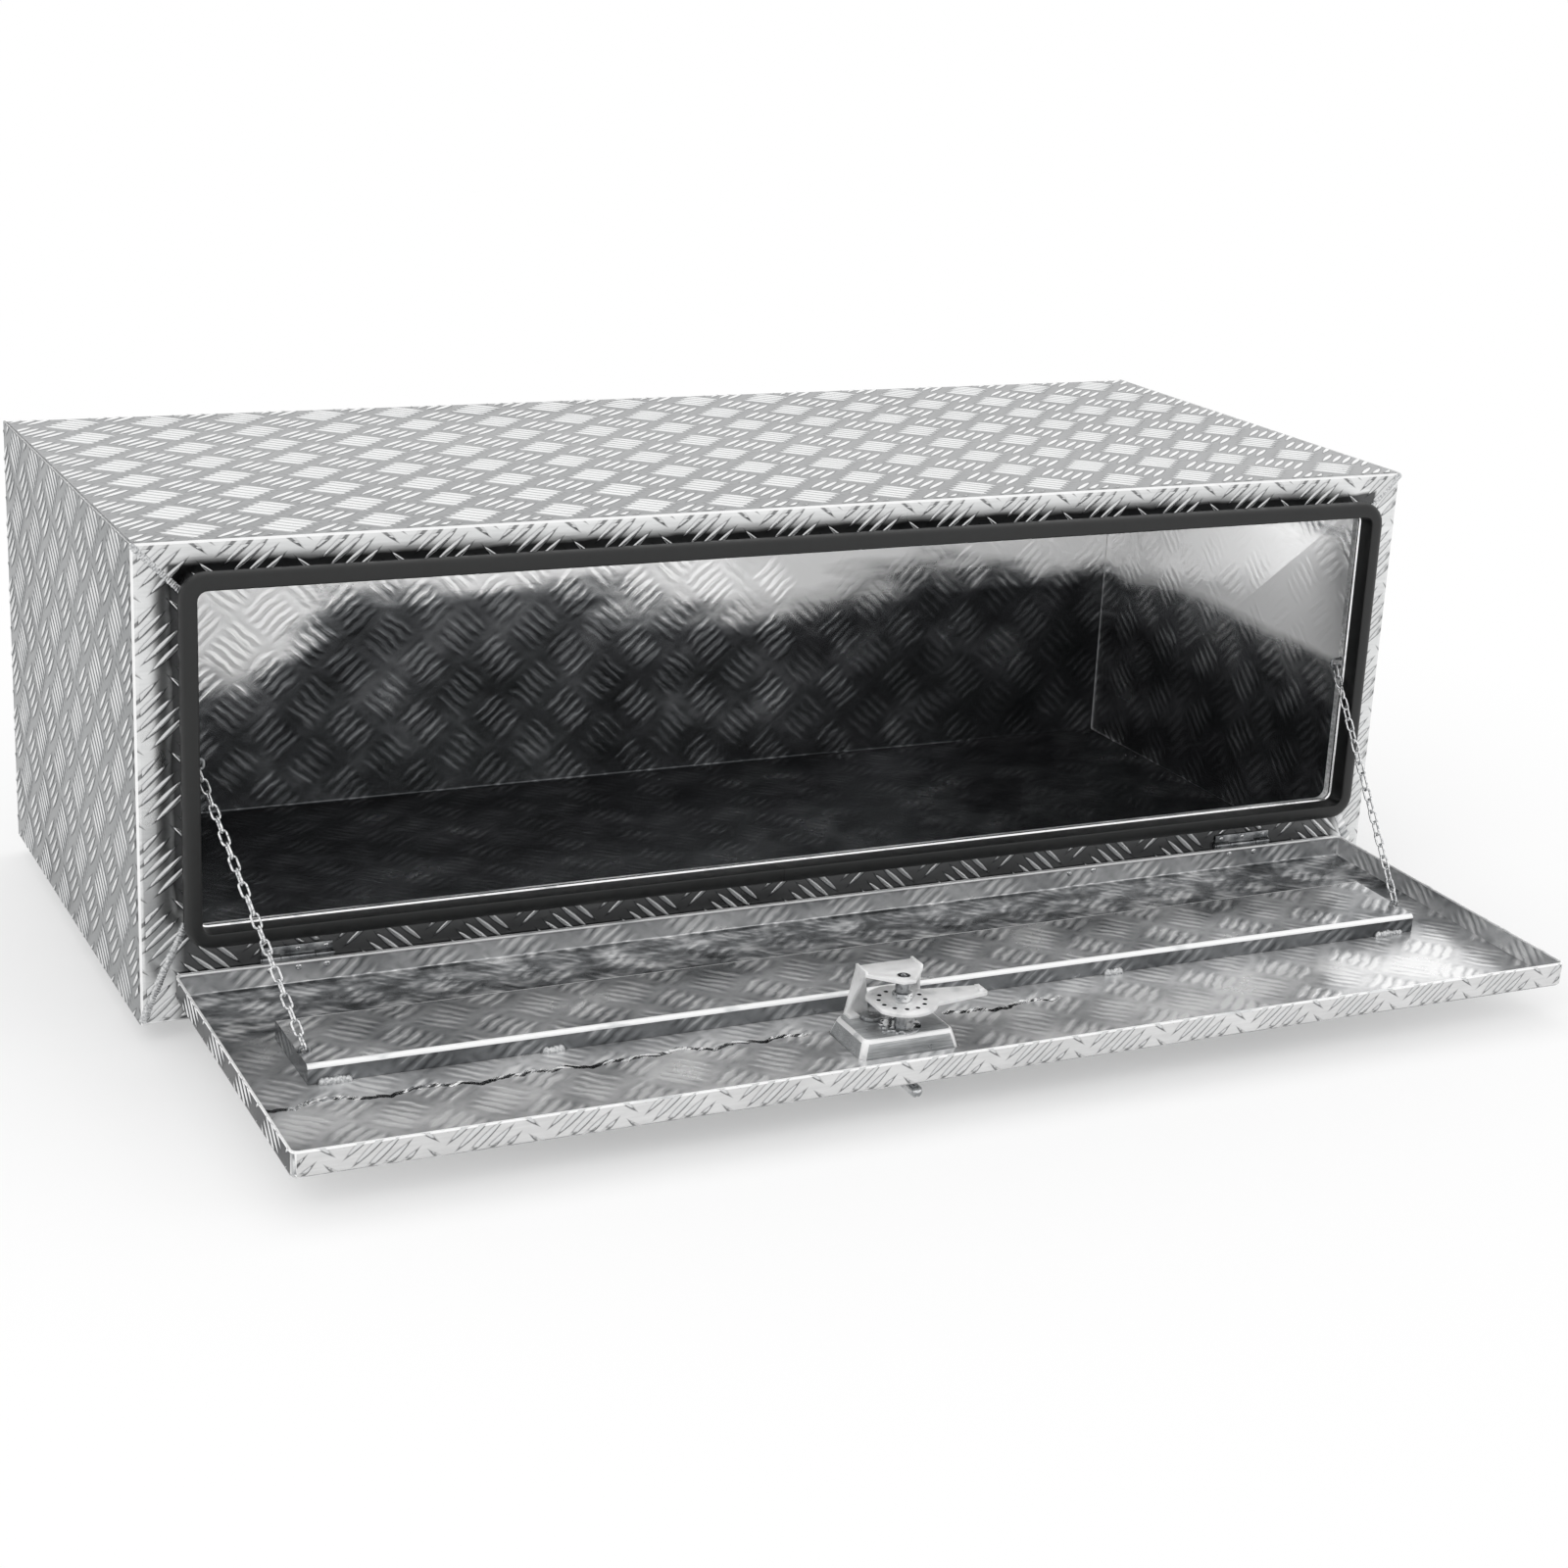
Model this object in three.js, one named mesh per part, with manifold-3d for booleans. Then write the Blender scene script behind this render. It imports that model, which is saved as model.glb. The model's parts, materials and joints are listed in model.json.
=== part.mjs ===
// Underbody truck tool box of folded aluminium sheet with a drop-down door.
// Millimetres, +Z up. The origin lies on the underside, in the middle of the box.
// The front looks along -Y, and the door lies open, a little below level.
import * as THREE from 'three';
import { mergeVertices } from 'three/addons/utils/BufferGeometryUtils.js';
import Module from 'manifold-3d';

const wasm = await Module();
wasm.setup();

// Box body
const BOX_WIDTH = 1219;
const BOX_DEPTH = 508;
const BOX_HEIGHT = 406.4;
const BODY_SHEET = 2;
const BODY_BEND = 3;
const SEAT_GAP = 0.3;
const CUT_OVERRUN = 5;
const MITRE_RISE = 5;

// Door opening and its raised lip, measured from the sides of the box
const OPENING_SIDE = 45;
const OPENING_BOTTOM = 82;
const OPENING_TOP = 34;
const OPENING_RADIUS = 10;
const LIP_SHEET = 1.6;
const LIP_FRONT = 20;
const LIP_BACK = 7;

// Rubber seal pushed onto the lip
const SEAL_OUT = 12;
const SEAL_IN = 1.7;
const SEAL_FRONT = 25.5;
const SEAL_LEG_START = 8;
const SEAL_BULB_START = 13;
const SEAL_LEG_OUT = 3.6;
const SEAL_ROUND = 5.5;
const SEAL_SMALL_ROUND = 1.6;

// Hinges
const HINGE_OUT = 3;
const HINGE_HEIGHT = 47;
const HINGE_WIDTH = 61;
const LEFT_HINGE_FROM_SIDE = 101;
const RIGHT_HINGE_FROM_SIDE = 113;
const KNUCKLE_RADIUS = 2.8;
const KNUCKLE_END = 15.5;
const KNUCKLE_GAP = 0.5;
const PIN_RADIUS = 1.3;
const PIN_HEAD_RADIUS = 2.2;
const PIN_HEAD_LENGTH = 1.2;
const LEAF_SHEET = 1.2;
const LEAF_BACK = 2.1;
const FRAME_LEAF_HEIGHT = 10;
const DOOR_LEAF_DROP = 15;

// Door
const DOOR_DROOP_DEGREES = 1.25;
const DOOR_SIDE_INSET = 28;
const DOOR_LENGTH = 342;
const DOOR_FLANGE = 22.5;
const DOOR_SHEET = 1.6;
const DOOR_CORNER = 6;
const DOOR_BEND = 2.5;
const DOOR_BACK = 0.6;
const DOOR_RIM_DROP = 3.5;

// Stiffening channel welded across the door
const HAT_INSET = 55;
const HAT_NEAR = 104;
const HAT_FAR = 195;
const HAT_HEIGHT = 16.6;
const HAT_SHEET = 1.6;
const HAT_BEND = 2;

// Stay chains
const LINK_LENGTH = 16;
const LINK_WIDTH = 8.5;
const LINK_WIRE = 2;
const LINK_BITE = 0.1;
const JOINING_SPACE = 10;
const EYE_WIRE = 2.5;
const EYE_BEND = 2.5;
const CHAIN_FROM_LIP = 6.5;
const CHAIN_EYE_HEIGHT = 217;
const CHAIN_EYE_BACK = 2;
const LIP_EYE_REACH = 11;
const LIP_EYE_RISE = 8;
const DOOR_EYE_FROM_END = 4.5;
const DOOR_EYE_DISTANCE = 171;
const DOOR_EYE_RISE = 4.8;
const DOOR_EYE_SPAN = 8;
const EYE_FOOT_RADIUS = 2;
const EYE_FOOT_HEIGHT = 0.7;

// Latch dish, set into the door and measured from its turning axis
const LATCH_FROM_SIDE = 560.5;
const LATCH_DISTANCE = 268.5;
const DISH_OFFSET = 9.5;
const DISH_LENGTH = 92;
const DISH_DEPTH = 64;
const DISH_DRAFT = 4;
const DISH_HEIGHT = 16.5;
const DISH_SHEET = 1.2;
const DISH_CORNER = 7;
const DISH_ROUND = 3;
const BEZEL_RIM = 10;
const BEZEL_CORNER = 10;
const GASKET_SHEET = 1.5;
const GASKET_RIM = 8.5;

// Latch mechanism behind the door skin
const SPINDLE_RADIUS = 5;
const SPINDLE_FLANGE_RADIUS = 11;
const SPINDLE_FLANGE = 4;
const CHEEK_WIDTH = 13;
const CHEEK_SHEET = 3.5;
const CHEEK_BELOW_PIVOT = 5;
const PIVOT_HEIGHT = 5;
const PIVOT_PIN_RADIUS = 2;
const INDEX_RADIUS = 17.5;
const INDEX_SHEET = 2;
const INDEX_TEETH = 7;
const INDEX_TOOTH = 3;
const CAM_HEIGHT = 37.5;
const CAM_SHEET = 3;
const CAM_RADIUS = 30;
const CAM_CUT = 26;
const CAM_HOLES = 12;
const CAM_HOLE_RADIUS = 2;
const CAM_HOLE_RING = 19.5;
const ARM_REACH = 77;
const ARM_ROOT_WIDTH = 30;
const ARM_TIP_WIDTH = 15;
const ARM_TIP_ROUND = 3;
const ARM_LIP = 7;
const ARM_LIP_DROP = 2.5;
const NUT_FLATS = 15;
const NUT_HEIGHT = 7;
const BUSH_RADIUS = 6;
const BUSH_HEIGHT = 9;
const SCREW_RADIUS = 5.5;
const SCREW_RECESS_RADIUS = 2.6;
const SCREW_RECESS_DEPTH = 2.5;

// Latch bracket over the cam
const BRACKET_HEIGHT = 59;
const BRACKET_SHEET = 3;
const BRACKET_RIM = 2;
const BRACKET_RIM_WIDTH = 2.2;
const BRACKET_LEFT = 29;
const BRACKET_RIGHT = 24;
const BRACKET_BACK = 30;
const BRACKET_FRONT = 11.5;
const BRACKET_CORNER = 1.5;
const LEG_SHEET = 2.5;
const LEG_TOP_WIDTH = 16;
const LEG_FOOT_WIDTH = 22;
const LEG_FOOT_BACK = 36.5;
const FOOT_LENGTH = 12;
const FOOT_WIDTH = 9;
const LEFT_LEG_SPREAD = 5;
const RIGHT_LEG_SPREAD = 12;

// Lock
const LOCK_LEFT = 15.5;
const LOCK_BACK = 22.5;
const LOCK_FLANGE_RADIUS = 8.7;
const LOCK_FLANGE = 3;
const LOCK_BODY_RADIUS = 6.5;
const LOCK_BODY_DROP = 10;
const LOCK_PLUG_RADIUS = 4;
const LOCK_PLUG_FACE = 0.6;
const KEYWAY_WIDTH = 1;
const KEYWAY_LENGTH = 5;
const KEYWAY_DEPTH = 4;

// Handle that hangs below the door
const HANDLE_DROP = 31;
const HANDLE_LENGTH = 80;
const HANDLE_RADIUS = 5.5;
const HANDLE_STEM_RADIUS = 4;
const TONGUE_WIDTH = 5.4;
const TONGUE_RADIUS = 4.5;
const HANDLE_SLOT_LENGTH = 22;
const HANDLE_SLOT_WIDTH = 3;
const HANDLE_SLOT_DEPTH = 3;

// Counts of facets
const BEND_STEPS = 3;
const CORNER_STEPS = 5;
const ROUND_SIDES = 24;
const SMALL_SIDES = 12;
const WIRE_SIDES = 6;
const LINK_END_STEPS = 4;

// Values that follow from the sizes above
const HALF_WIDTH = BOX_WIDTH / 2;
const FRONT = -BOX_DEPTH / 2;
const OPENING_WIDTH = BOX_WIDTH - 2 * OPENING_SIDE;
const OPENING_HEIGHT = BOX_HEIGHT - OPENING_BOTTOM - OPENING_TOP;
const OPENING_MIDDLE = OPENING_BOTTOM + OPENING_HEIGHT / 2;
const LIP_OUTER = LIP_SHEET + SEAT_GAP;
const HOLE_RADIUS = OPENING_RADIUS + LIP_OUTER;
const HINGE_Y = FRONT - HINGE_OUT;
const DOOR_WIDTH = BOX_WIDTH - 2 * DOOR_SIDE_INSET;
const SKIN = -DOOR_RIM_DROP - DOOR_FLANGE;
const FLOOR = SKIN + DOOR_SHEET;
const HAT_TOP = FLOOR + SEAT_GAP + HAT_HEIGHT;
const PIN_BORE = PIN_RADIUS + SEAT_GAP;
const SHAFT_BORE = SPINDLE_RADIUS + SEAT_GAP;

// Colours, roughness and metalness of the finishes
const FINISHES = {
  treadAluminium: { color: 0xb9bbbc, roughness: 0.35, metalness: 1 },
  brightAluminium: { color: 0xd8dadb, roughness: 0.2, metalness: 1 },
  steel: { color: 0xc4c6c8, roughness: 0.3, metalness: 1 },
  brushedSteel: { color: 0x9fa1a3, roughness: 0.45, metalness: 1 },
  zincPlate: { color: 0xe2e3e2, roughness: 0.3, metalness: 1 },
  chrome: { color: 0xe8eaeb, roughness: 0.08, metalness: 1 },
  rubber: { color: 0x1a1b1c, roughness: 0.6, metalness: 0 },
};

function finish(name) {
  return new THREE.MeshStandardMaterial(FINISHES[name]);
}

// Solids for joining and cutting
function toSolid(geometry) {
  const bare = geometry.clone();
  bare.deleteAttribute('normal');
  bare.deleteAttribute('uv');
  const merged = mergeVertices(bare);
  const vertProperties = new Float32Array(merged.attributes.position.array);
  const triVerts = new Uint32Array(merged.index.array);
  return new wasm.Manifold(new wasm.Mesh({ numProp: 3, vertProperties, triVerts }));
}

function toGeometry(solid) {
  const mesh = solid.getMesh();
  const geometry = new THREE.BufferGeometry();
  geometry.setAttribute('position', new THREE.BufferAttribute(mesh.vertProperties, 3));
  geometry.setIndex(new THREE.BufferAttribute(mesh.triVerts, 1));
  geometry.computeVertexNormals();
  return geometry;
}

function joined(geometries) {
  return toGeometry(geometries.map(toSolid).reduce((whole, piece) => whole.add(piece)));
}

function withCuts(geometry, cutters) {
  return toGeometry(cutters.map(toSolid).reduce((rest, cutter) => rest.subtract(cutter), toSolid(geometry)));
}

// A mirrored copy across the middle of the box, with its faces turned out again
function mirrored(geometry) {
  const copy = geometry.clone().scale(-1, 1, 1);
  const order = copy.index.array;
  for (let i = 0; i < order.length; i += 3) {
    [order[i], order[i + 1]] = [order[i + 1], order[i]];
  }
  copy.computeVertexNormals();
  return copy;
}

// Points of a polygon whose corners [x, y, radius] are rounded with short chords
function rounded(corners, steps = BEND_STEPS) {
  const points = [];
  corners.forEach(([x, y, radius = 0], i) => {
    const corner = new THREE.Vector2(x, y);
    if (radius === 0) {
      points.push(corner);
      return;
    }
    const before = new THREE.Vector2(...corners.at(i - 1).slice(0, 2)).sub(corner).normalize();
    const after = new THREE.Vector2(...corners[(i + 1) % corners.length].slice(0, 2)).sub(corner).normalize();
    const halfAngle = Math.acos(THREE.MathUtils.clamp(before.dot(after), -1, 1)) / 2;
    const reach = radius / Math.tan(halfAngle);
    const inward = before.clone().add(after).normalize();
    const centre = corner.clone().addScaledVector(inward, radius / Math.sin(halfAngle));
    const start = corner.clone().addScaledVector(before, reach).sub(centre).angle();
    const end = corner.clone().addScaledVector(after, reach).sub(centre).angle();
    const turn = THREE.MathUtils.euclideanModulo(end - start + Math.PI, 2 * Math.PI) - Math.PI;
    for (let k = 0; k <= steps; k += 1) {
      const angle = start + (turn * k) / steps;
      points.push(new THREE.Vector2(Math.cos(angle), Math.sin(angle)).multiplyScalar(radius).add(centre));
    }
  });
  return points;
}

function roundedRectangle(width, height, radius, steps = CORNER_STEPS) {
  const [x, y] = [width / 2, height / 2];
  return rounded([[x, -y, radius], [x, y, radius], [-x, y, radius], [-x, -y, radius]], steps);
}

// A folded strip: the outer face follows the path, the sheet lies on its left
function foldedStrip(path, sheet, bend) {
  const ways = path.slice(1).map(([x, y], i) => new THREE.Vector2(x - path[i][0], y - path[i][1]).normalize());
  const lefts = ways.map((way) => new THREE.Vector2(-way.y, way.x));
  const outer = [];
  const inner = [];
  path.forEach(([x, y], i) => {
    const before = lefts[Math.max(i - 1, 0)];
    const after = lefts[Math.min(i, lefts.length - 1)];
    const mitre = before.clone().add(after).multiplyScalar(sheet / (1 + before.dot(after)));
    const isEnd = i === 0 || i === path.length - 1;
    const turnsLeft = before.cross(after) > 0;
    const [outerBend, innerBend] = turnsLeft ? [bend + sheet, bend] : [bend, bend + sheet];
    outer.push([x, y, isEnd ? 0 : outerBend]);
    inner.push([x + mitre.x, y + mitre.y, isEnd ? 0 : innerBend]);
  });
  return rounded([...outer, ...inner.reverse()]);
}

// Extrusions along each axis, from the outline's plane at zero
function alongZ(outline, length, holes = []) {
  const shape = new THREE.Shape(outline);
  shape.holes = holes.map((hole) => new THREE.Path(hole));
  return new THREE.ExtrudeGeometry(shape, { depth: length, bevelEnabled: false });
}

// The outline's x and y become Y and Z, and the length runs along X
function alongX(outline, length) {
  return alongZ(outline, length).rotateX(Math.PI / 2).rotateZ(Math.PI / 2);
}

// The outline's x and y become X and Z, and the length runs back along Y
function alongY(outline, length) {
  return alongZ(outline, length).rotateX(Math.PI / 2).translate(0, length, 0);
}

function rod(radius, length, sides = ROUND_SIDES) {
  return new THREE.CylinderGeometry(radius, radius, length, sides).rotateX(Math.PI / 2).translate(0, 0, length / 2);
}

function rodAlongX(radius, start, length, sides = ROUND_SIDES) {
  return rod(radius, length, sides).rotateY(Math.PI / 2).translate(start, 0, 0);
}

// A box between two corners
function block(x0, x1, y0, y1, z0, z1) {
  const box = new THREE.BoxGeometry(x1 - x0, y1 - y0, z1 - z0);
  return box.translate((x0 + x1) / 2, (y0 + y1) / 2, (z0 + z1) / 2);
}

// A closed solid through rings of equally many points, capped at both ends
function loft(rings, closed = false) {
  const count = rings[0].length;
  const positions = rings.flat().flatMap((p) => [p.x, p.y, p.z]);
  const index = [];
  const spans = closed ? rings.length : rings.length - 1;
  for (let r = 0; r < spans; r += 1) {
    const next = (r + 1) % rings.length;
    for (let k = 0; k < count; k += 1) {
      const a = r * count + k;
      const b = r * count + ((k + 1) % count);
      const c = next * count + ((k + 1) % count);
      const d = next * count + k;
      index.push(a, b, c, a, c, d);
    }
  }
  if (!closed) {
    const last = (rings.length - 1) * count;
    for (let k = 1; k < count - 1; k += 1) {
      index.push(0, k + 1, k);
      index.push(last, last + k, last + k + 1);
    }
  }
  const geometry = new THREE.BufferGeometry();
  geometry.setAttribute('position', new THREE.Float32BufferAttribute(positions, 3));
  geometry.setIndex(index);
  geometry.computeVertexNormals();
  return geometry;
}

// A profile of [outward, up] points carried round a rounded rectangle in the XY plane
function framed(width, height, radius, profile) {
  const corners = [[1, -1, -0.25], [1, 1, 0], [-1, 1, 0.25], [-1, -1, 0.5]];
  const rings = [];
  const section = [...profile].reverse();
  corners.forEach(([sx, sy, startShare]) => {
    const cx = sx * (width / 2 - radius);
    const cy = sy * (height / 2 - radius);
    for (let k = 0; k <= CORNER_STEPS; k += 1) {
      const angle = 2 * Math.PI * (startShare + k / CORNER_STEPS / 4);
      rings.push(section.map((p) => new THREE.Vector3(
        cx + (radius + p.x) * Math.cos(angle),
        cy + (radius + p.x) * Math.sin(angle),
        p.y,
      )));
    }
  });
  return loft(rings, true);
}

// The same, standing in the front of the box round the door opening, with up as forward
function roundOpening(profile) {
  return framed(OPENING_WIDTH, OPENING_HEIGHT, OPENING_RADIUS, profile)
    .rotateX(Math.PI / 2)
    .translate(0, FRONT, OPENING_MIDDLE);
}

// A wire of round section along points that lie in the plane square to across
function wire(points, across, diameter, closed = false) {
  const rings = points.map((point, i) => {
    const before = points.at(closed ? i - 1 : Math.max(i - 1, 0));
    const after = points[closed ? (i + 1) % points.length : Math.min(i + 1, points.length - 1)];
    const ahead = after.clone().sub(before).normalize();
    const side = new THREE.Vector3().crossVectors(across, ahead);
    return Array.from({ length: WIRE_SIDES }, (_, k) => {
      const angle = (2 * Math.PI * (k + 1 / 2)) / WIRE_SIDES;
      return point.clone()
        .addScaledVector(side, (Math.cos(angle) * diameter) / 2)
        .addScaledVector(across, (Math.sin(angle) * diameter) / 2);
    });
  });
  return loft(rings, closed);
}

// Placing
const box = new THREE.Group();

function place(parent, name, geometry, finishName) {
  const mesh = new THREE.Mesh(geometry, finish(finishName));
  mesh.name = name;
  parent.add(mesh);
  return mesh;
}

// Body: a wrap of top, back and bottom, two end panels, and mitred front flanges
const HOLE_SIDE = OPENING_SIDE - LIP_OUTER;
const HOLE_BOTTOM = OPENING_BOTTOM - LIP_OUTER;
const HOLE_TOP = BOX_HEIGHT - OPENING_TOP + LIP_OUTER;

function openingCutter() {
  const width = OPENING_WIDTH + 2 * LIP_OUTER;
  const height = OPENING_HEIGHT + 2 * LIP_OUTER;
  const outline = roundedRectangle(width, height, HOLE_RADIUS);
  return alongY(outline, BODY_SHEET + 2 * CUT_OVERRUN).translate(0, FRONT - CUT_OVERRUN, OPENING_MIDDLE);
}

// The mitre's line runs from the box's corner to where the opening's corner starts to bend
function mitreHeight(fromSide, atTop, gap) {
  const start = atTop ? BOX_HEIGHT : MITRE_RISE;
  const end = atTop ? HOLE_TOP - HOLE_RADIUS : HOLE_BOTTOM + HOLE_RADIUS;
  const inward = atTop ? 1 : -1;
  return start + ((end - start) * fromSide) / HOLE_SIDE + inward * gap;
}

// Cuts the flange on one side of the mitre line at the left end, for the wrap or the panel
function mitreCutter(atTop, ofPanel) {
  const from = ofPanel ? BODY_SHEET : 0;
  const to = HOLE_SIDE + HOLE_RADIUS;
  const gap = ofPanel ? 0 : 2 * SEAT_GAP;
  const outside = atTop ? BOX_HEIGHT + CUT_OVERRUN : -CUT_OVERRUN;
  const edge = ofPanel ? outside : OPENING_MIDDLE;
  const points = [
    [from, mitreHeight(from, atTop, gap)],
    [to, mitreHeight(to, atTop, gap)],
    [to, edge],
    [from, edge],
  ].map(([x, z]) => new THREE.Vector2(x - HALF_WIDTH, z));
  const outline = THREE.ShapeUtils.isClockWise(points) ? points.reverse() : points;
  const depth = CUT_OVERRUN + BODY_SHEET + BODY_BEND;
  return alongY(outline, depth).translate(0, FRONT - CUT_OVERRUN, 0);
}

function bodyWrap() {
  const back = BOX_DEPTH / 2;
  const path = [
    [FRONT, HOLE_BOTTOM + HOLE_RADIUS],
    [FRONT, 0],
    [back, 0],
    [back, BOX_HEIGHT],
    [FRONT, BOX_HEIGHT],
    [FRONT, HOLE_TOP - HOLE_RADIUS],
  ];
  const length = BOX_WIDTH - 2 * (BODY_SHEET + SEAT_GAP);
  const strip = alongX(foldedStrip(path, BODY_SHEET, BODY_BEND), length).translate(-length / 2, 0, 0);
  const mitres = [true, false].map((atTop) => mitreCutter(atTop, false));
  return withCuts(strip, [openingCutter(), ...mitres, ...mitres.map((cutter) => mirrored(mergeVertices(cutter)))]);
}

function endPanel() {
  const path = [
    [-HALF_WIDTH, BOX_DEPTH / 2],
    [-HALF_WIDTH, FRONT],
    [-HALF_WIDTH + HOLE_SIDE + HOLE_RADIUS, FRONT],
  ];
  const strip = alongZ(foldedStrip(path, BODY_SHEET, BODY_BEND), BOX_HEIGHT);
  return withCuts(strip, [openingCutter(), mitreCutter(true, true), mitreCutter(false, true)]);
}

function lip() {
  const profile = rounded([
    [0, -LIP_BACK],
    [LIP_SHEET, -LIP_BACK],
    [LIP_SHEET, LIP_FRONT],
    [0, LIP_FRONT],
  ]);
  return roundOpening(profile);
}

function seal() {
  const slotBottom = LIP_FRONT + SEAT_GAP;
  return roundOpening(rounded([
    [-SEAL_IN, SEAL_LEG_START],
    [-SEAT_GAP, SEAL_LEG_START],
    [-SEAT_GAP, slotBottom],
    [LIP_OUTER, slotBottom],
    [LIP_OUTER, SEAL_LEG_START],
    [SEAL_LEG_OUT, SEAL_LEG_START],
    [SEAL_LEG_OUT, SEAL_BULB_START],
    [SEAL_OUT, SEAL_BULB_START, SEAL_SMALL_ROUND],
    [SEAL_OUT, SEAL_FRONT, SEAL_ROUND],
    [-SEAL_IN, SEAL_FRONT, SEAL_SMALL_ROUND],
  ]));
}

place(box, 'body_wrap', bodyWrap(), 'treadAluminium');
const panel = endPanel();
place(box, 'end_panel_left', panel, 'treadAluminium');
place(box, 'end_panel_right', mirrored(panel), 'treadAluminium');
place(box, 'opening_lip', lip(), 'brightAluminium');
place(box, 'door_seal', seal(), 'rubber');

// Hinges: the frame's leaf holds the middle knuckle, the door's leaf the outer two
const hingeLine = new THREE.Group();
hingeLine.position.set(0, HINGE_Y, HINGE_HEIGHT);
box.add(hingeLine);

const door = new THREE.Group();
door.rotation.x = THREE.MathUtils.degToRad(DOOR_DROOP_DEGREES);
hingeLine.add(door);

function knuckle(start, length) {
  return rodAlongX(KNUCKLE_RADIUS, start, length, SMALL_SIDES);
}

function hingeBore(start) {
  return rodAlongX(PIN_BORE, start - CUT_OVERRUN, HINGE_WIDTH + 2 * CUT_OVERRUN, SMALL_SIDES);
}

const LEAF_FRONT = LEAF_BACK - LEAF_SHEET;
const LEAF_START = KNUCKLE_RADIUS + KNUCKLE_GAP;

function frameLeaf(start) {
  const from = start + KNUCKLE_END + KNUCKLE_GAP;
  const to = start + HINGE_WIDTH - KNUCKLE_END - KNUCKLE_GAP;
  const pieces = [
    knuckle(from, to - from),
    block(from, to, LEAF_FRONT, LEAF_BACK, 0, LEAF_START + LEAF_SHEET),
    block(start, start + HINGE_WIDTH, LEAF_FRONT, LEAF_BACK, LEAF_START, FRAME_LEAF_HEIGHT),
  ];
  return withCuts(joined(pieces), [hingeBore(start)]);
}

function doorLeaf(start) {
  const end = start + HINGE_WIDTH;
  const pieces = [block(start, end, LEAF_FRONT, LEAF_BACK, -DOOR_LEAF_DROP, -LEAF_START)];
  [start, end - KNUCKLE_END].forEach((from) => {
    pieces.push(knuckle(from, KNUCKLE_END));
    pieces.push(block(from, from + KNUCKLE_END, LEAF_FRONT, LEAF_BACK, -LEAF_START - LEAF_SHEET, 0));
  });
  return withCuts(joined(pieces), [hingeBore(start)]);
}

function hingePin(start) {
  const shaft = rodAlongX(PIN_RADIUS, start, HINGE_WIDTH + SEAT_GAP + PIN_HEAD_LENGTH, SMALL_SIDES);
  const head = rodAlongX(PIN_HEAD_RADIUS, start - SEAT_GAP - PIN_HEAD_LENGTH, PIN_HEAD_LENGTH, SMALL_SIDES);
  const neck = rodAlongX(PIN_RADIUS, start - SEAT_GAP - PIN_HEAD_LENGTH / 2, HINGE_WIDTH / 2, SMALL_SIDES);
  return joined([shaft, neck, head]);
}

const hingeStarts = {
  left: LEFT_HINGE_FROM_SIDE - HALF_WIDTH,
  right: HALF_WIDTH - RIGHT_HINGE_FROM_SIDE - HINGE_WIDTH,
};
Object.entries(hingeStarts).forEach(([side, start]) => {
  place(hingeLine, `hinge_frame_leaf_${side}`, frameLeaf(start), 'steel');
  place(door, `hinge_door_leaf_${side}`, doorLeaf(start), 'steel');
  place(hingeLine, `hinge_pin_${side}`, hingePin(start), 'steel');
});

// Door: a shallow pan with a hole for the latch dish
const DOOR_MIDDLE = DOOR_BACK - DOOR_LENGTH / 2;
const DISH_X = LATCH_FROM_SIDE - HALF_WIDTH;
const DISH_Y = DOOR_BACK - LATCH_DISTANCE + DISH_OFFSET;

function doorPan() {
  const inset = DOOR_SHEET + DOOR_BEND + SEAT_GAP;
  const profile = foldedStrip([[-inset, SKIN], [0, SKIN], [0, -DOOR_RIM_DROP]], DOOR_SHEET, DOOR_BEND);
  const rim = framed(DOOR_WIDTH, DOOR_LENGTH, DOOR_CORNER, profile);
  const reach = 2 * (inset - SEAT_GAP / 2);
  const floorOutline = roundedRectangle(DOOR_WIDTH - reach, DOOR_LENGTH - reach, DOOR_CORNER - inset + SEAT_GAP / 2);
  const floor = alongZ(floorOutline, DOOR_SHEET).translate(0, 0, SKIN);
  const pan = joined([rim, floor]).translate(0, DOOR_MIDDLE, 0);
  const holeOutline = roundedRectangle(DISH_LENGTH + 2 * SEAT_GAP, DISH_DEPTH + 2 * SEAT_GAP, DISH_CORNER);
  const hole = alongZ(holeOutline, DOOR_SHEET + 2 * CUT_OVERRUN).translate(DISH_X, DISH_Y, SKIN - CUT_OVERRUN);
  return withCuts(pan, [hole]);
}

// A channel, open towards the door's floor, with folded-down ends
function stiffener() {
  const base = FLOOR + SEAT_GAP;
  const [near, far] = [DOOR_BACK - HAT_NEAR, DOOR_BACK - HAT_FAR];
  const section = (inset, bottom, round) => rounded([
    [far + inset, bottom],
    [near - inset, bottom],
    [near - inset, HAT_TOP - inset, round],
    [far + inset, HAT_TOP - inset, round],
  ]);
  const length = DOOR_WIDTH - 2 * HAT_INSET;
  const hollow = length - 2 * HAT_SHEET;
  const outside = alongX(section(0, base, HAT_BEND + HAT_SHEET), length).translate(-length / 2, 0, 0);
  const inside = alongX(section(HAT_SHEET, base - CUT_OVERRUN, HAT_BEND), hollow).translate(-hollow / 2, 0, 0);
  return withCuts(outside, [inside]);
}

place(door, 'door_pan', doorPan(), 'treadAluminium');
place(door, 'door_stiffener', stiffener(), 'brightAluminium');

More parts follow.
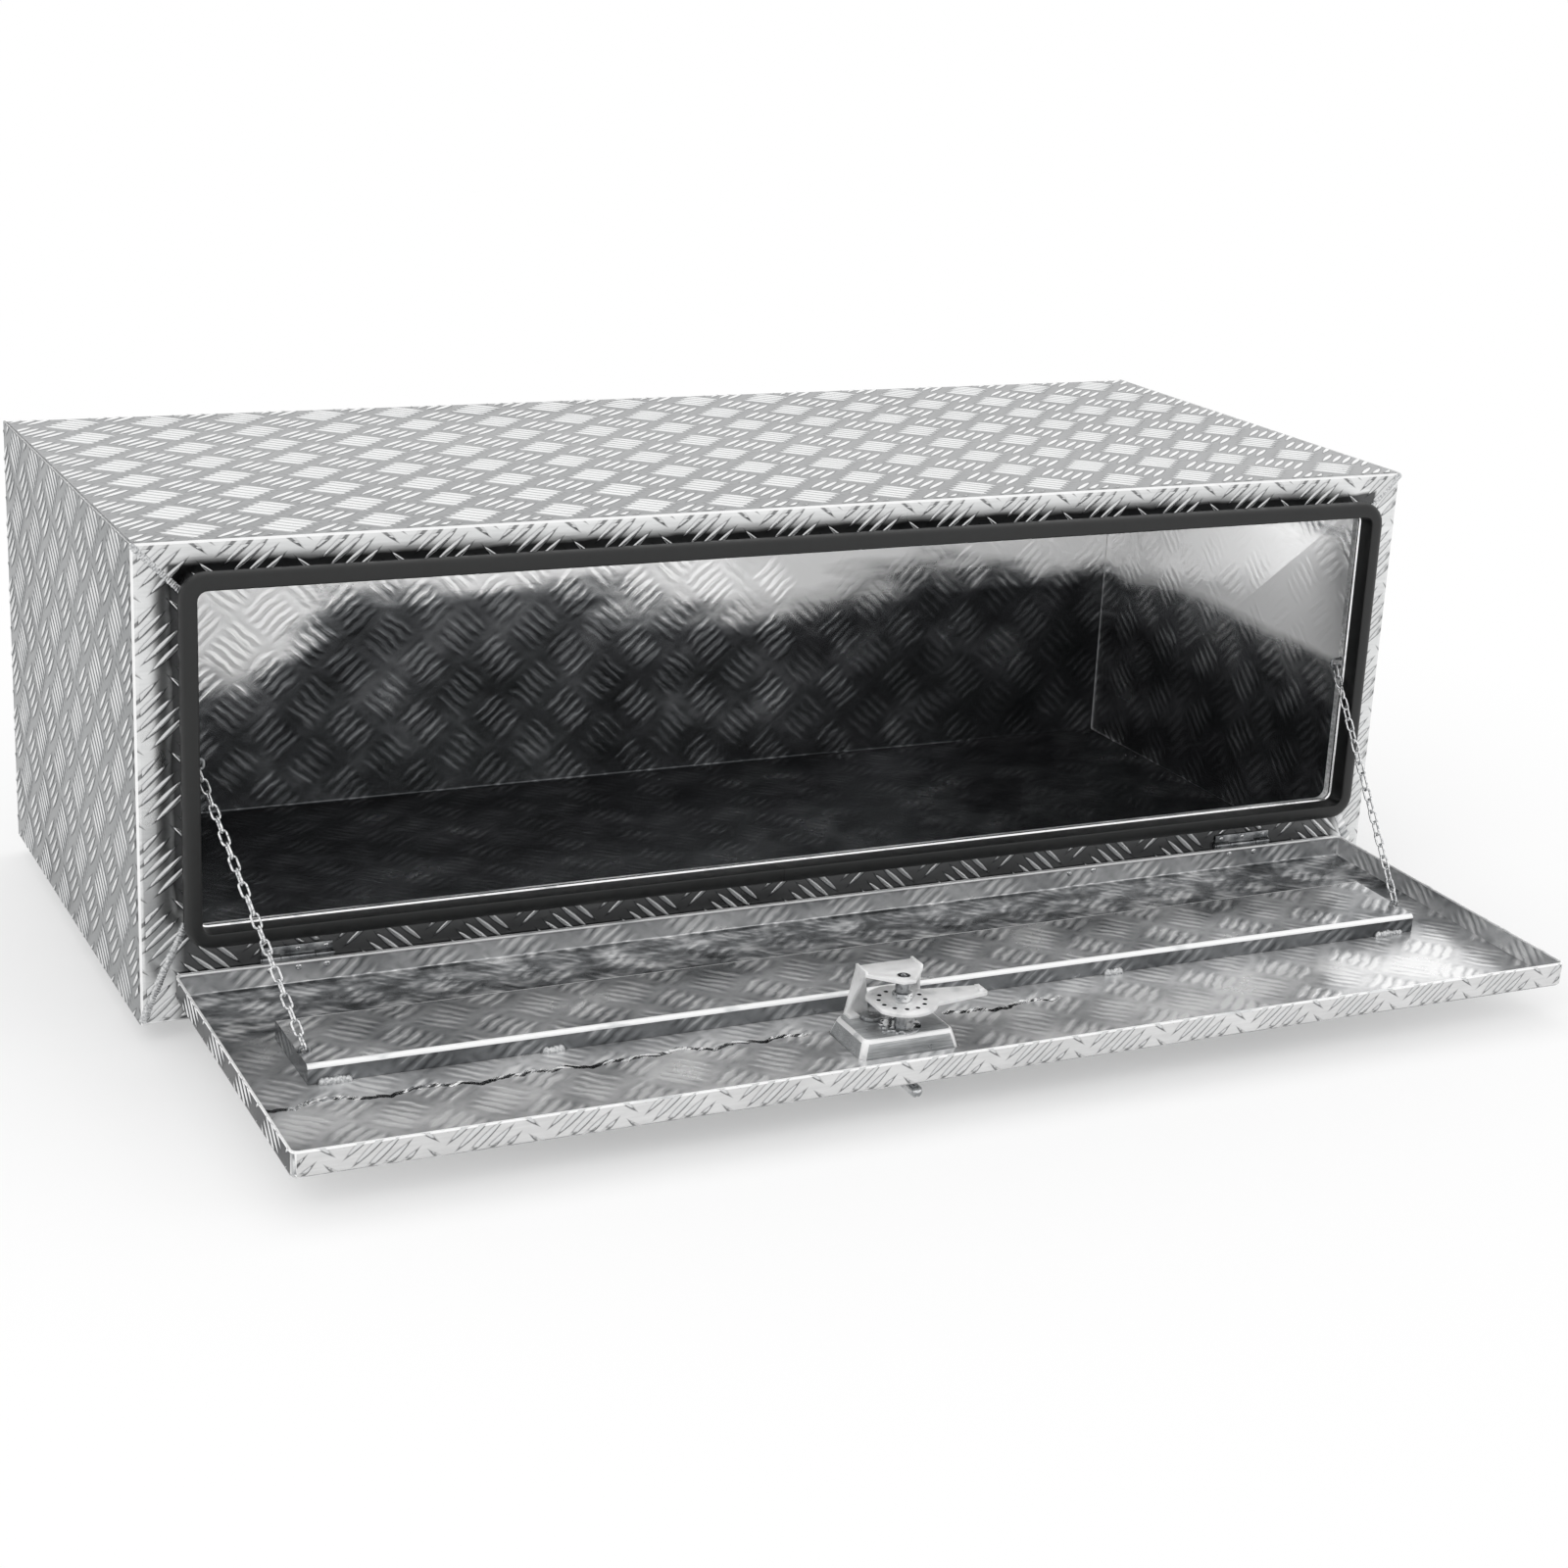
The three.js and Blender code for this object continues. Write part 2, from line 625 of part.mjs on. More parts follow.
// Stay chains: each in two halves, from the eye on the lip and from the eye on the door
function link() {
  const radius = (LINK_WIDTH - LINK_WIRE) / 2;
  const straight = (LINK_LENGTH - LINK_WIDTH) / 2;
  const points = [0, 1].flatMap((end) => Array.from({ length: LINK_END_STEPS + 1 }, (_, k) => {
    const angle = Math.PI * (end + k / LINK_END_STEPS - 1 / 2);
    const centre = end === 0 ? straight : -straight;
    return new THREE.Vector3(centre + radius * Math.cos(angle), radius * Math.sin(angle), 0);
  }));
  return wire(points, new THREE.Vector3(0, 0, 1), LINK_WIRE, true);
}

// Links in a row along X from an eye at zero, each turned a quarter from the last.
// There are as many as leave room for the joining link in the middle of the reach.
function chainHalf(reach) {
  const pitch = LINK_LENGTH - 2 * LINK_WIRE - LINK_BITE;
  const start = LINK_LENGTH / 2 - EYE_WIRE / 2 - SEAT_GAP - LINK_WIRE;
  const room = (reach - JOINING_SPACE - LINK_LENGTH) / 2 - start;
  const links = Array.from({ length: 1 + Math.floor(room / pitch) }, (_, k) => link()
    .rotateX((k % 2) * Math.PI / 2)
    .translate(start + k * pitch, 0, 0));
  return joined(links);
}

// Turns a row along X towards a target, its first link square to the X axis
function aimed(geometry, from, target) {
  const ahead = target.clone().sub(from).normalize();
  const across = new THREE.Vector3().crossVectors(ahead, new THREE.Vector3(1, 0, 0)).normalize();
  const normal = new THREE.Vector3().crossVectors(ahead, across);
  const frame = new THREE.Matrix4().makeBasis(ahead, across, normal).setPosition(from);
  return geometry.clone().applyMatrix4(frame);
}

// A staple of wire in the XZ plane, with its inner corners bent round
function staple(corners) {
  const last = corners.length - 1;
  const bends = corners.map((corner, i) => [...corner, i === 0 || i === last ? 0 : EYE_BEND]);
  const path = rounded(bends).map((p) => new THREE.Vector3(p.x, 0, p.y));
  return wire(path, new THREE.Vector3(0, 1, 0), EYE_WIRE);
}

const LIP_FACE = OPENING_SIDE - HALF_WIDTH;
const lipEye = new THREE.Vector3(LIP_FACE + CHAIN_FROM_LIP, FRONT + CHAIN_EYE_BACK, CHAIN_EYE_HEIGHT);
const hatEnd = HAT_INSET - DOOR_WIDTH / 2;
const doorEye = new THREE.Vector3(hatEnd + DOOR_EYE_FROM_END, DOOR_BACK - DOOR_EYE_DISTANCE, HAT_TOP + DOOR_EYE_RISE);

// A staple out of the lip's side, whose lower leg carries the chain
function lipStaple() {
  const foot = LIP_FACE + SEAT_GAP;
  const reach = LIP_FACE + LIP_EYE_REACH;
  const z = CHAIN_EYE_HEIGHT;
  const bow = staple([[foot, z], [reach, z], [reach, z + LIP_EYE_RISE], [foot, z + LIP_EYE_RISE]]);
  const feet = [z, z + LIP_EYE_RISE].map((height) => rodAlongX(EYE_FOOT_RADIUS, foot, EYE_FOOT_HEIGHT, SMALL_SIDES)
    .translate(0, 0, height));
  return joined([bow, ...feet]).translate(0, lipEye.y, 0);
}

// A staple up from the stiffener's end, whose top carries the chain
function doorStaple() {
  const foot = HAT_TOP + SEAT_GAP;
  const [x0, x1] = [doorEye.x - DOOR_EYE_SPAN / 2, doorEye.x + DOOR_EYE_SPAN / 2];
  const bow = staple([[x1, foot], [x1, doorEye.z], [x0, doorEye.z], [x0, foot]]);
  const feet = [x0, x1].map((x) => rod(EYE_FOOT_RADIUS, EYE_FOOT_HEIGHT, SMALL_SIDES).translate(x, 0, foot));
  return joined([bow, ...feet]).translate(0, doorEye.y, 0);
}

box.updateMatrixWorld(true);
const doorEyeInBox = door.localToWorld(doorEye.clone());
const halfRow = chainHalf(lipEye.distanceTo(doorEyeInBox));
const upperHalf = aimed(halfRow, lipEye, doorEyeInBox);
const lowerHalf = aimed(halfRow, doorEyeInBox, lipEye);
const stapleOnLip = lipStaple();
const stapleOnDoor = doorStaple();
place(box, 'chain_eye_lip_left', stapleOnLip, 'steel');
place(box, 'chain_eye_lip_right', mirrored(stapleOnLip), 'steel');
place(door, 'chain_eye_door_left', stapleOnDoor, 'steel');
place(door, 'chain_eye_door_right', mirrored(stapleOnDoor), 'steel');
place(box, 'chain_upper_left', upperHalf, 'steel');
place(box, 'chain_upper_right', mirrored(upperHalf), 'steel');
place(box, 'chain_lower_left', lowerHalf, 'steel');
place(box, 'chain_lower_right', mirrored(lowerHalf), 'steel');

// Latch: its own frame has the turning axis upright and the door's outer skin at zero
const latch = new THREE.Group();
latch.position.set(DISH_X, DOOR_BACK - LATCH_DISTANCE, SKIN);
door.add(latch);

function dishRing(grow, height, draftShare) {
  const shrink = 2 * (DISH_DRAFT * draftShare - grow);
  const outline = roundedRectangle(DISH_LENGTH - shrink, DISH_DEPTH - shrink, DISH_CORNER + grow);
  return outline.map((p) => new THREE.Vector3(p.x, p.y + DISH_OFFSET, height));
}

// A pressed dish with a drafted wall, a rounded shoulder and a flat rim outside the door
function latchDish() {
  const rimTop = -GASKET_SHEET - 2 * SEAT_GAP;
  const rimBottom = rimTop - DISH_SHEET;
  const rimOutline = roundedRectangle(DISH_LENGTH + 2 * BEZEL_RIM, DISH_DEPTH + 2 * BEZEL_RIM, BEZEL_CORNER);
  const rim = alongZ(rimOutline, DISH_SHEET).translate(0, DISH_OFFSET, rimBottom);
  const shoulder = DISH_HEIGHT - DISH_ROUND;
  const outside = loft([
    dishRing(0, rimBottom, 0),
    dishRing(0, 0, 0),
    dishRing(0, shoulder, 1),
    dishRing(-DISH_ROUND / 3, DISH_HEIGHT - DISH_ROUND / 3, 1),
    dishRing(-DISH_ROUND, DISH_HEIGHT, 1),
  ]);
  const inside = loft([
    dishRing(-DISH_SHEET, rimBottom - CUT_OVERRUN, 0),
    dishRing(-DISH_SHEET, 0, 0),
    dishRing(-DISH_SHEET, shoulder - DISH_SHEET, 1),
    dishRing(-DISH_SHEET - DISH_ROUND, DISH_HEIGHT - DISH_SHEET, 1),
  ]);
  const shaftHole = rod(SHAFT_BORE, 2 * DISH_HEIGHT);
  const lockHole = rod(LOCK_BODY_RADIUS + SEAT_GAP, 2 * DISH_HEIGHT).translate(-LOCK_LEFT, LOCK_BACK, 0);
  return withCuts(joined([rim, outside]), [inside, shaftHole, lockHole]);
}

function gasket() {
  const opening = 2 * SEAT_GAP;
  const outline = roundedRectangle(DISH_LENGTH + 2 * GASKET_RIM, DISH_DEPTH + 2 * GASKET_RIM, BEZEL_CORNER);
  const hole = roundedRectangle(DISH_LENGTH + opening, DISH_DEPTH + opening, DISH_CORNER).reverse();
  return alongZ(outline, GASKET_SHEET, [hole]).translate(0, DISH_OFFSET, -GASKET_SHEET - SEAT_GAP);
}

place(latch, 'latch_dish', latchDish(), 'brushedSteel');
place(latch, 'latch_gasket', gasket(), 'rubber');

// The stamped bracket over the cam, with raised rims at its ends and a leg at each side
function bracketPlate() {
  const outline = rounded([
    [-BRACKET_LEFT, BRACKET_BACK, BRACKET_CORNER],
    [-BRACKET_LEFT, BRACKET_FRONT, BRACKET_CORNER],
    [-SCREW_RADIUS, -BRACKET_FRONT, BRACKET_CORNER],
    [SCREW_RADIUS, -BRACKET_FRONT, BRACKET_CORNER],
    [BRACKET_RIGHT, BRACKET_FRONT, BRACKET_CORNER],
    [BRACKET_RIGHT, BRACKET_BACK, BRACKET_CORNER],
  ]);
  const plate = alongZ(outline, BRACKET_SHEET).translate(0, 0, BRACKET_HEIGHT);
  const top = BRACKET_HEIGHT + BRACKET_SHEET + BRACKET_RIM;
  const rims = [[-BRACKET_LEFT, 1], [BRACKET_RIGHT, -1]].map(([edge, inward]) => {
    const [x0, x1] = [edge, edge + inward * BRACKET_RIM_WIDTH].sort((a, b) => a - b);
    return block(x0, x1, BRACKET_FRONT, BRACKET_BACK, BRACKET_HEIGHT, top);
  });
  return [plate, ...rims];
}

// A slanting slab from one level rectangle to another, each given as [x0, x1, y0, y1]
function slab(low, lowHeight, high, highHeight) {
  const ring = ([x0, x1, y0, y1], height) => [[x0, y0], [x1, y0], [x1, y1], [x0, y1]]
    .map(([x, y]) => new THREE.Vector3(x, y, height));
  return loft([ring(low, lowHeight), ring(high, highHeight)]);
}

// A leg folded down from the plate's end: a slanting web at the side and one at the back
function bracketLeg(side) {
  const foot = DISH_HEIGHT + SEAT_GAP;
  const top = BRACKET_HEIGHT + BRACKET_SHEET / 2;
  const edge = side < 0 ? BRACKET_LEFT : BRACKET_RIGHT;
  const outer = edge + (side < 0 ? LEFT_LEG_SPREAD : RIGHT_LEG_SPREAD);
  const across = (reach, width) => [side * reach, side * (reach - width)].sort((a, b) => a - b);
  const backWeb = slab(
    [...across(outer, LEG_FOOT_WIDTH), LEG_FOOT_BACK - LEG_SHEET, LEG_FOOT_BACK],
    foot,
    [...across(edge, LEG_TOP_WIDTH / 2), BRACKET_BACK - LEG_SHEET, BRACKET_BACK],
    top,
  );
  const sideWeb = slab(
    [...across(outer - SEAT_GAP, LEG_SHEET), LEG_FOOT_BACK - LEG_SHEET - SEAT_GAP, LEG_FOOT_BACK - SEAT_GAP],
    foot + SEAT_GAP,
    [...across(edge - SEAT_GAP, LEG_SHEET), BRACKET_BACK - LEG_TOP_WIDTH, BRACKET_BACK - SEAT_GAP],
    top - SEAT_GAP,
  );
  const pad = block(
    ...across(outer - SEAT_GAP, FOOT_WIDTH),
    LEG_FOOT_BACK - FOOT_LENGTH, LEG_FOOT_BACK - SEAT_GAP,
    foot, foot + LEG_SHEET,
  );
  return [backWeb, sideWeb, pad];
}

function latchBracket() {
  const pieces = [...bracketPlate(), ...bracketLeg(-1), ...bracketLeg(1)];
  const screwHole = rod(SCREW_RADIUS + SEAT_GAP, 2 * BRACKET_SHEET).translate(0, 0, BRACKET_HEIGHT - BRACKET_SHEET / 2);
  return withCuts(joined(pieces), [screwHole]);
}

place(latch, 'latch_bracket', latchBracket(), 'zincPlate');

// Lock barrel through the dish, with a plug that turns in it
function lockBarrel() {
  const flange = rod(LOCK_FLANGE_RADIUS, LOCK_FLANGE).translate(0, 0, DISH_HEIGHT + SEAT_GAP);
  const body = rod(LOCK_BODY_RADIUS, LOCK_BODY_DROP + LOCK_FLANGE).translate(0, 0, DISH_HEIGHT - LOCK_BODY_DROP);
  const bore = rod(LOCK_PLUG_RADIUS + SEAT_GAP, 2 * LOCK_BODY_DROP).translate(0, 0, DISH_HEIGHT - 2 * LOCK_BODY_DROP);
  return withCuts(joined([flange, body]), [bore]);
}

function lockPlug() {
  const face = DISH_HEIGHT - LOCK_BODY_DROP - LOCK_PLUG_FACE;
  const plug = rod(LOCK_PLUG_RADIUS, LOCK_BODY_DROP + LOCK_PLUG_FACE - SEAT_GAP).translate(0, 0, face);
  const keyway = block(
    -KEYWAY_WIDTH / 2, KEYWAY_WIDTH / 2,
    -KEYWAY_LENGTH / 2, KEYWAY_LENGTH / 2,
    face - CUT_OVERRUN, face + KEYWAY_DEPTH,
  );
  return withCuts(plug, [keyway]);
}

const lock = new THREE.Group();
lock.position.set(-LOCK_LEFT, LOCK_BACK, 0);
latch.add(lock);
place(lock, 'lock_barrel', lockBarrel(), 'steel');
place(lock, 'lock_plug', lockPlug(), 'chrome');

// Spindle: a shaft with a flange and a fork below the dish
const SPINDLE_TOP = BRACKET_HEIGHT - SEAT_GAP;

function spindle() {
  const flangeTop = DISH_HEIGHT - DISH_SHEET - SEAT_GAP;
  const flangeBottom = flangeTop - SPINDLE_FLANGE;
  const shaft = rod(SPINDLE_RADIUS, SPINDLE_TOP - flangeTop + SEAT_GAP).translate(0, 0, flangeTop - SEAT_GAP);
  const flange = rod(SPINDLE_FLANGE_RADIUS, SPINDLE_FLANGE).translate(0, 0, flangeBottom);
  const cheekInner = TONGUE_WIDTH / 2 + SEAT_GAP;
  const cheeks = [cheekInner, -cheekInner - CHEEK_SHEET].map((y) => block(
    -CHEEK_WIDTH / 2, CHEEK_WIDTH / 2,
    y, y + CHEEK_SHEET,
    PIVOT_HEIGHT - CHEEK_BELOW_PIVOT, flangeBottom + SEAT_GAP,
  ));
  const bore = rod(PIVOT_PIN_RADIUS + SEAT_GAP, 2 * SPINDLE_FLANGE_RADIUS, SMALL_SIDES)
    .rotateX(Math.PI / 2)
    .translate(0, SPINDLE_FLANGE_RADIUS, PIVOT_HEIGHT);
  return withCuts(joined([shaft, flange, ...cheeks]), [bore]);
}

function handlePin() {
  const length = TONGUE_WIDTH + 2 * (SEAT_GAP + CHEEK_SHEET);
  return rod(PIVOT_PIN_RADIUS, length, SMALL_SIDES).rotateX(Math.PI / 2).translate(0, length / 2, PIVOT_HEIGHT);
}

// A disc with teeth along the half that looks to the left
function indexDisc() {
  const points = [];
  for (let k = 0; k <= ROUND_SIDES / 2; k += 1) {
    const angle = Math.PI * (k / (ROUND_SIDES / 2) - 1 / 2);
    points.push(new THREE.Vector2(INDEX_RADIUS * Math.cos(angle), INDEX_RADIUS * Math.sin(angle)));
  }
  for (let k = 1; k < 4 * INDEX_TEETH; k += 1) {
    const angle = Math.PI * (1 / 2 + k / (4 * INDEX_TEETH));
    const radius = k % 4 < 2 ? INDEX_RADIUS - INDEX_TOOTH : INDEX_RADIUS;
    points.push(new THREE.Vector2(radius * Math.cos(angle), radius * Math.sin(angle)));
  }
  const disc = alongZ(points, INDEX_SHEET).translate(0, 0, DISH_HEIGHT + SEAT_GAP);
  return withCuts(disc, [rod(SHAFT_BORE, 2 * (DISH_HEIGHT + INDEX_SHEET))]);
}

// The cam: a pierced disc, cut straight on the left, that runs out into the locking arm
function camOutline() {
  const cutAngle = Math.acos(-CAM_CUT / CAM_RADIUS);
  const rootAngle = Math.asin(ARM_ROOT_WIDTH / 2 / CAM_RADIUS);
  const points = [];
  const steps = ROUND_SIDES / 2;
  for (let k = 0; k <= steps; k += 1) {
    const angle = rootAngle + ((cutAngle - rootAngle) * k) / steps;
    points.push([CAM_RADIUS * Math.cos(angle), CAM_RADIUS * Math.sin(angle)]);
  }
  const lower = points.map(([x, y]) => [x, -y]).reverse();
  const tip = [
    [ARM_REACH, -ARM_TIP_WIDTH / 2, ARM_TIP_ROUND],
    [ARM_REACH, ARM_TIP_WIDTH / 2, ARM_TIP_ROUND],
  ];
  return rounded([...points, ...lower, ...tip]);
}

function camPlate() {
  const plate = alongZ(camOutline(), CAM_SHEET).translate(0, 0, CAM_HEIGHT);
  const lipBlock = block(
    ARM_REACH - ARM_LIP, ARM_REACH - ARM_TIP_ROUND,
    -ARM_TIP_WIDTH / 2 + ARM_TIP_ROUND, ARM_TIP_WIDTH / 2 - ARM_TIP_ROUND,
    CAM_HEIGHT + CAM_SHEET / 2, CAM_HEIGHT + CAM_SHEET + ARM_LIP_DROP,
  );
  const holes = Array.from({ length: CAM_HOLES }, (_, k) => {
    const angle = (2 * Math.PI * (k + 1 / 2)) / CAM_HOLES;
    const hole = rod(CAM_HOLE_RADIUS, CAM_SHEET + 2 * CUT_OVERRUN, SMALL_SIDES);
    return hole.translate(CAM_HOLE_RING * Math.cos(angle), CAM_HOLE_RING * Math.sin(angle), CAM_HEIGHT - CUT_OVERRUN);
  });
  const bore = rod(SHAFT_BORE, CAM_SHEET + 2 * CUT_OVERRUN).translate(0, 0, CAM_HEIGHT - CUT_OVERRUN);
  return withCuts(joined([plate, lipBlock]), [...holes, bore]);
}

function camNut() {
  const nut = rod(NUT_FLATS / Math.sqrt(3), NUT_HEIGHT, 6).translate(0, 0, CAM_HEIGHT + CAM_SHEET + SEAT_GAP);
  return withCuts(nut, [rod(SHAFT_BORE, 2 * CAM_HEIGHT)]);
}

const BUSH_START = CAM_HEIGHT + CAM_SHEET + NUT_HEIGHT + 2 * SEAT_GAP;

function camBush() {
  const bush = rod(BUSH_RADIUS + SEAT_GAP, BUSH_HEIGHT).translate(0, 0, BUSH_START);
  return withCuts(bush, [rod(SHAFT_BORE, 2 * BRACKET_HEIGHT)]);
}

// The screw that holds the spindle's top end in the bracket
function topScrew() {
  const screw = rod(SCREW_RADIUS, BRACKET_SHEET + SEAT_GAP).translate(0, 0, BRACKET_HEIGHT);
  const recess = rod(SCREW_RECESS_RADIUS, SCREW_RECESS_DEPTH + CUT_OVERRUN, 6)
    .translate(0, 0, BRACKET_HEIGHT + BRACKET_SHEET + SEAT_GAP - SCREW_RECESS_DEPTH);
  return withCuts(screw, [recess]);
}

place(latch, 'spindle', spindle(), 'steel');
place(latch, 'index_disc', indexDisc(), 'chrome');
place(latch, 'cam_plate', camPlate(), 'zincPlate');
place(latch, 'cam_nut', camNut(), 'chrome');
place(latch, 'cam_bush', camBush(), 'steel');
place(latch, 'bracket_screw', topScrew(), 'steel');
place(latch, 'handle_pin', handlePin(), 'steel');

// Handle: a cross bar with rounded ends on a stem that hangs from the fork
function crossBar() {
  const half = HANDLE_LENGTH / 2;
  const shoulder = half - HANDLE_RADIUS;
  const ends = [-1, 1].map((way) => Array.from({ length: CORNER_STEPS + 1 }, (_, k) => {
    const angle = (Math.PI / 2) * (way < 0 ? k : CORNER_STEPS - k) / CORNER_STEPS;
    return new THREE.Vector2(HANDLE_RADIUS * Math.sin(angle), way * (shoulder + HANDLE_RADIUS * Math.cos(angle)));
  })).flat();
  const bar = new THREE.LatheGeometry(ends, SMALL_SIDES);
  return bar.translate(0, 0, PIVOT_HEIGHT - HANDLE_DROP);
}

function tHandle() {
  const forkReach = Math.hypot(CHEEK_WIDTH / 2, CHEEK_BELOW_PIVOT);
  const stemLength = HANDLE_DROP - forkReach - SEAT_GAP;
  const stem = rod(HANDLE_STEM_RADIUS, stemLength, SMALL_SIDES).translate(0, 0, PIVOT_HEIGHT - HANDLE_DROP);
  const eye = rod(TONGUE_RADIUS, TONGUE_WIDTH, SMALL_SIDES)
    .rotateX(Math.PI / 2)
    .translate(0, TONGUE_WIDTH / 2, PIVOT_HEIGHT);
  const tongue = block(
    -HANDLE_STEM_RADIUS, HANDLE_STEM_RADIUS,
    -TONGUE_WIDTH / 2, TONGUE_WIDTH / 2,
    PIVOT_HEIGHT - HANDLE_DROP, PIVOT_HEIGHT,
  );
  const bore = rod(PIVOT_PIN_RADIUS + SEAT_GAP, 2 * TONGUE_WIDTH, SMALL_SIDES)
    .rotateX(Math.PI / 2)
    .translate(0, TONGUE_WIDTH, PIVOT_HEIGHT);
  const lowest = PIVOT_HEIGHT - HANDLE_DROP - HANDLE_RADIUS;
  const slots = [-1, 1].map((way) => {
    const [y0, y1] = [way * HANDLE_LENGTH / 4, way * (HANDLE_LENGTH / 4 + HANDLE_SLOT_LENGTH)].sort((a, b) => a - b);
    return block(-HANDLE_SLOT_WIDTH / 2, HANDLE_SLOT_WIDTH / 2, y0, y1, lowest - CUT_OVERRUN, lowest + HANDLE_SLOT_DEPTH);
  });
  return withCuts(joined([crossBar(), stem, tongue, eye]), [bore, ...slots]);
}

place(latch, 'pull_handle', tHandle(), 'chrome');

export default box;
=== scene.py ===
import json
import math

import bmesh
import bpy
import numpy as np
from mathutils import Matrix, Vector

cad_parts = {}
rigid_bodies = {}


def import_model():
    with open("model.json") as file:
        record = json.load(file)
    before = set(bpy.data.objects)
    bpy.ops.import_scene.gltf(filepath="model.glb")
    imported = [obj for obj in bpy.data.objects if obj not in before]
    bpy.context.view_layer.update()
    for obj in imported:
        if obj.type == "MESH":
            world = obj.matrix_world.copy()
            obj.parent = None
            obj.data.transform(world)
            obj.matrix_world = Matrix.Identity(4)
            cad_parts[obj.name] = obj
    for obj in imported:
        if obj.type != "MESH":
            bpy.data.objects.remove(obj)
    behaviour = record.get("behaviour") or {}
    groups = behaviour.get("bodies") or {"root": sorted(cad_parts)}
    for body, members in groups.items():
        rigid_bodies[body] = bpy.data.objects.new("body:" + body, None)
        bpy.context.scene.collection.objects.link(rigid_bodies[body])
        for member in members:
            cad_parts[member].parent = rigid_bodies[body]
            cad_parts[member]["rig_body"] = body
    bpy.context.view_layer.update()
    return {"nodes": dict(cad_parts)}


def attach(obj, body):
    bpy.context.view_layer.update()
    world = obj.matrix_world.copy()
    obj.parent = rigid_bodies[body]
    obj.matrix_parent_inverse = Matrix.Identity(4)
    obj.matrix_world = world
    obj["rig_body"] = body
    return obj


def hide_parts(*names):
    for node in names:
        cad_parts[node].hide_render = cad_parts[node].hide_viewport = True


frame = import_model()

bl_info = {
    "name": "Underbody tool box finishes",
    "version": (1, 0, 0),
    "blender": (4, 5, 0),
    "location": "View3D > Sidebar > Tool Box",
    "description": "Dresses the packed tool box in rolled tread plate, welds, chains and a latch",
    "category": "Object",
}

MM = 0.001

# The box, measured from the middle of its underside
HALF_WIDTH = 609.5 * MM
HALF_DEPTH = 254 * MM
HEIGHT = 406.4 * MM
BEND = 5.5 * MM
HOLE_HALF_WIDTH = 567 * MM
HOLE_LOW = 79.5 * MM
HOLE_HIGH = 374.9 * MM
LEAF_LOW = 30 * MM
LEAF_HIGH = 58.5 * MM
LEAF_FACE = -256.1 * MM
MITRE_INNER = 566.4 * MM
MITRE_LOW = (5 * MM, 92 * MM)
MITRE_HIGH = (406.4 * MM, 362.4 * MM)

# Inner face of the opening's lip, and the bead that is rolled along it close to the seal
LIP_HALF_WIDTH = 564.5 * MM
LIP_LOW = 82 * MM
LIP_HIGH = 372.4 * MM
LIP_RADIUS = 10 * MM
BEAD_IN = 1.2 * MM
BEAD_WIRE = 4.6 * MM
BEAD_PLACE = -259.4 * MM

# The door, measured from the hinge's axis, and the latch, from the spindle's axis on the door's skin
HINGE = Vector((0, -257, 47)) * MM
DROOP = math.radians(1.25)
DOOR = Matrix.Translation(HINGE) @ Matrix.Rotation(DROOP, 4, "X")
LATCH = DOOR @ Matrix.Translation(Vector((-49, -267.9, -26)) * MM)
DOOR_HALF_WIDTH = 581.5 * MM
DOOR_BACK = 0.6 * MM
DOOR_FRONT = -341.4 * MM
DOOR_SKIN = -26 * MM
DOOR_RIM = -3.5 * MM
DOOR_SHEET = 1.6 * MM
DOOR_MIDDLE = (DOOR_BACK + DOOR_FRONT) / 2
HEM_IN = 0.8 * MM
HEM_BACK = -2.1 * MM
HEM_DOWN = 1 * MM
HEM_WIRE = 2.4 * MM
HEM_RADIUS = 5.2 * MM
LEAVES = ((-508.5 * MM, -447.5 * MM), (435.5 * MM, 496.5 * MM))
LEAF_FOOT = -20 * MM
BAR_MARGIN = 6.5 * MM
FLANGE_FOOT = 4.4 * MM
RIM_BAND = 0.3 * MM
BEZEL_CENTRE = (-49 * MM, -258.4 * MM)
BEZEL_HALF = (56.6 * MM, 42.6 * MM)

# The ring of holes in the locking arm, from the spindle's axis
CAM_HOLES = (17.3 * MM, 21.7 * MM)

# The stay chains
LIP_EYE = Vector((-558, -252, 217)) * MM
DOOR_EYE = DOOR @ (Vector((-522, -170.4, -2.7)) * MM)
FIRST_LINK = 4.45 * MM

# In millimetres: the rivets' places along the hinges and across them, the clip of the seal (half width,
# low, high, free corner), and the front foot of the door's channel with the ends of its welds
DOOR_RIVETS, DOOR_RIVET_ROW = (-501.7, -477.4, -453.1, 271.1, 297.7, 452.0, 480.1), -9.4
BOX_RIVETS, BOX_RIVET_ROW = (-501.7, -477.4, -453.1, 442, 466, 490), 53.8
CLIP = (568.2, 78.2, 376.2, 16)
CHANNEL_FOOT = -195
CHANNEL_WELDS = ((-515, -494), (-330, -318), (196, 208), (488, 512))

# How far the clip stands out of the box, and where the ends of the seal meet
CLIP_OUT = 10.4 * MM
SEAL_JOINT = -40.5 * MM

# The floor, which fades to white away from its middle, and the camera from a fit of the box's corners
FLOOR_HALF, FLOOR_LEVEL, FLOOR_MIDDLE = 12.0, -0.0175, (0.0, -0.15, 0.0)
CAMERA_PLACE = Vector((-1096.74, -2414.15, 932.75)) * MM
CAMERA_ANGLES = (-26.23, 17.91, 2.85)
CAMERA_LENS = 65.28

# Where the back wall mirrors the bright studio: middle and half size, along and up
WHITE_PATCHES = ((-0.44, 0.235, 0.13, 0.1), (-0.08, 0.27, 0.4, 0.055), (0.2, 0.265, 0.22, 0.095),
                 (0.52, 0.26, 0.2, 0.07))

# How far the channel's welds reach into the door's sheet
BEAD_ROOT = 0.8 * MM

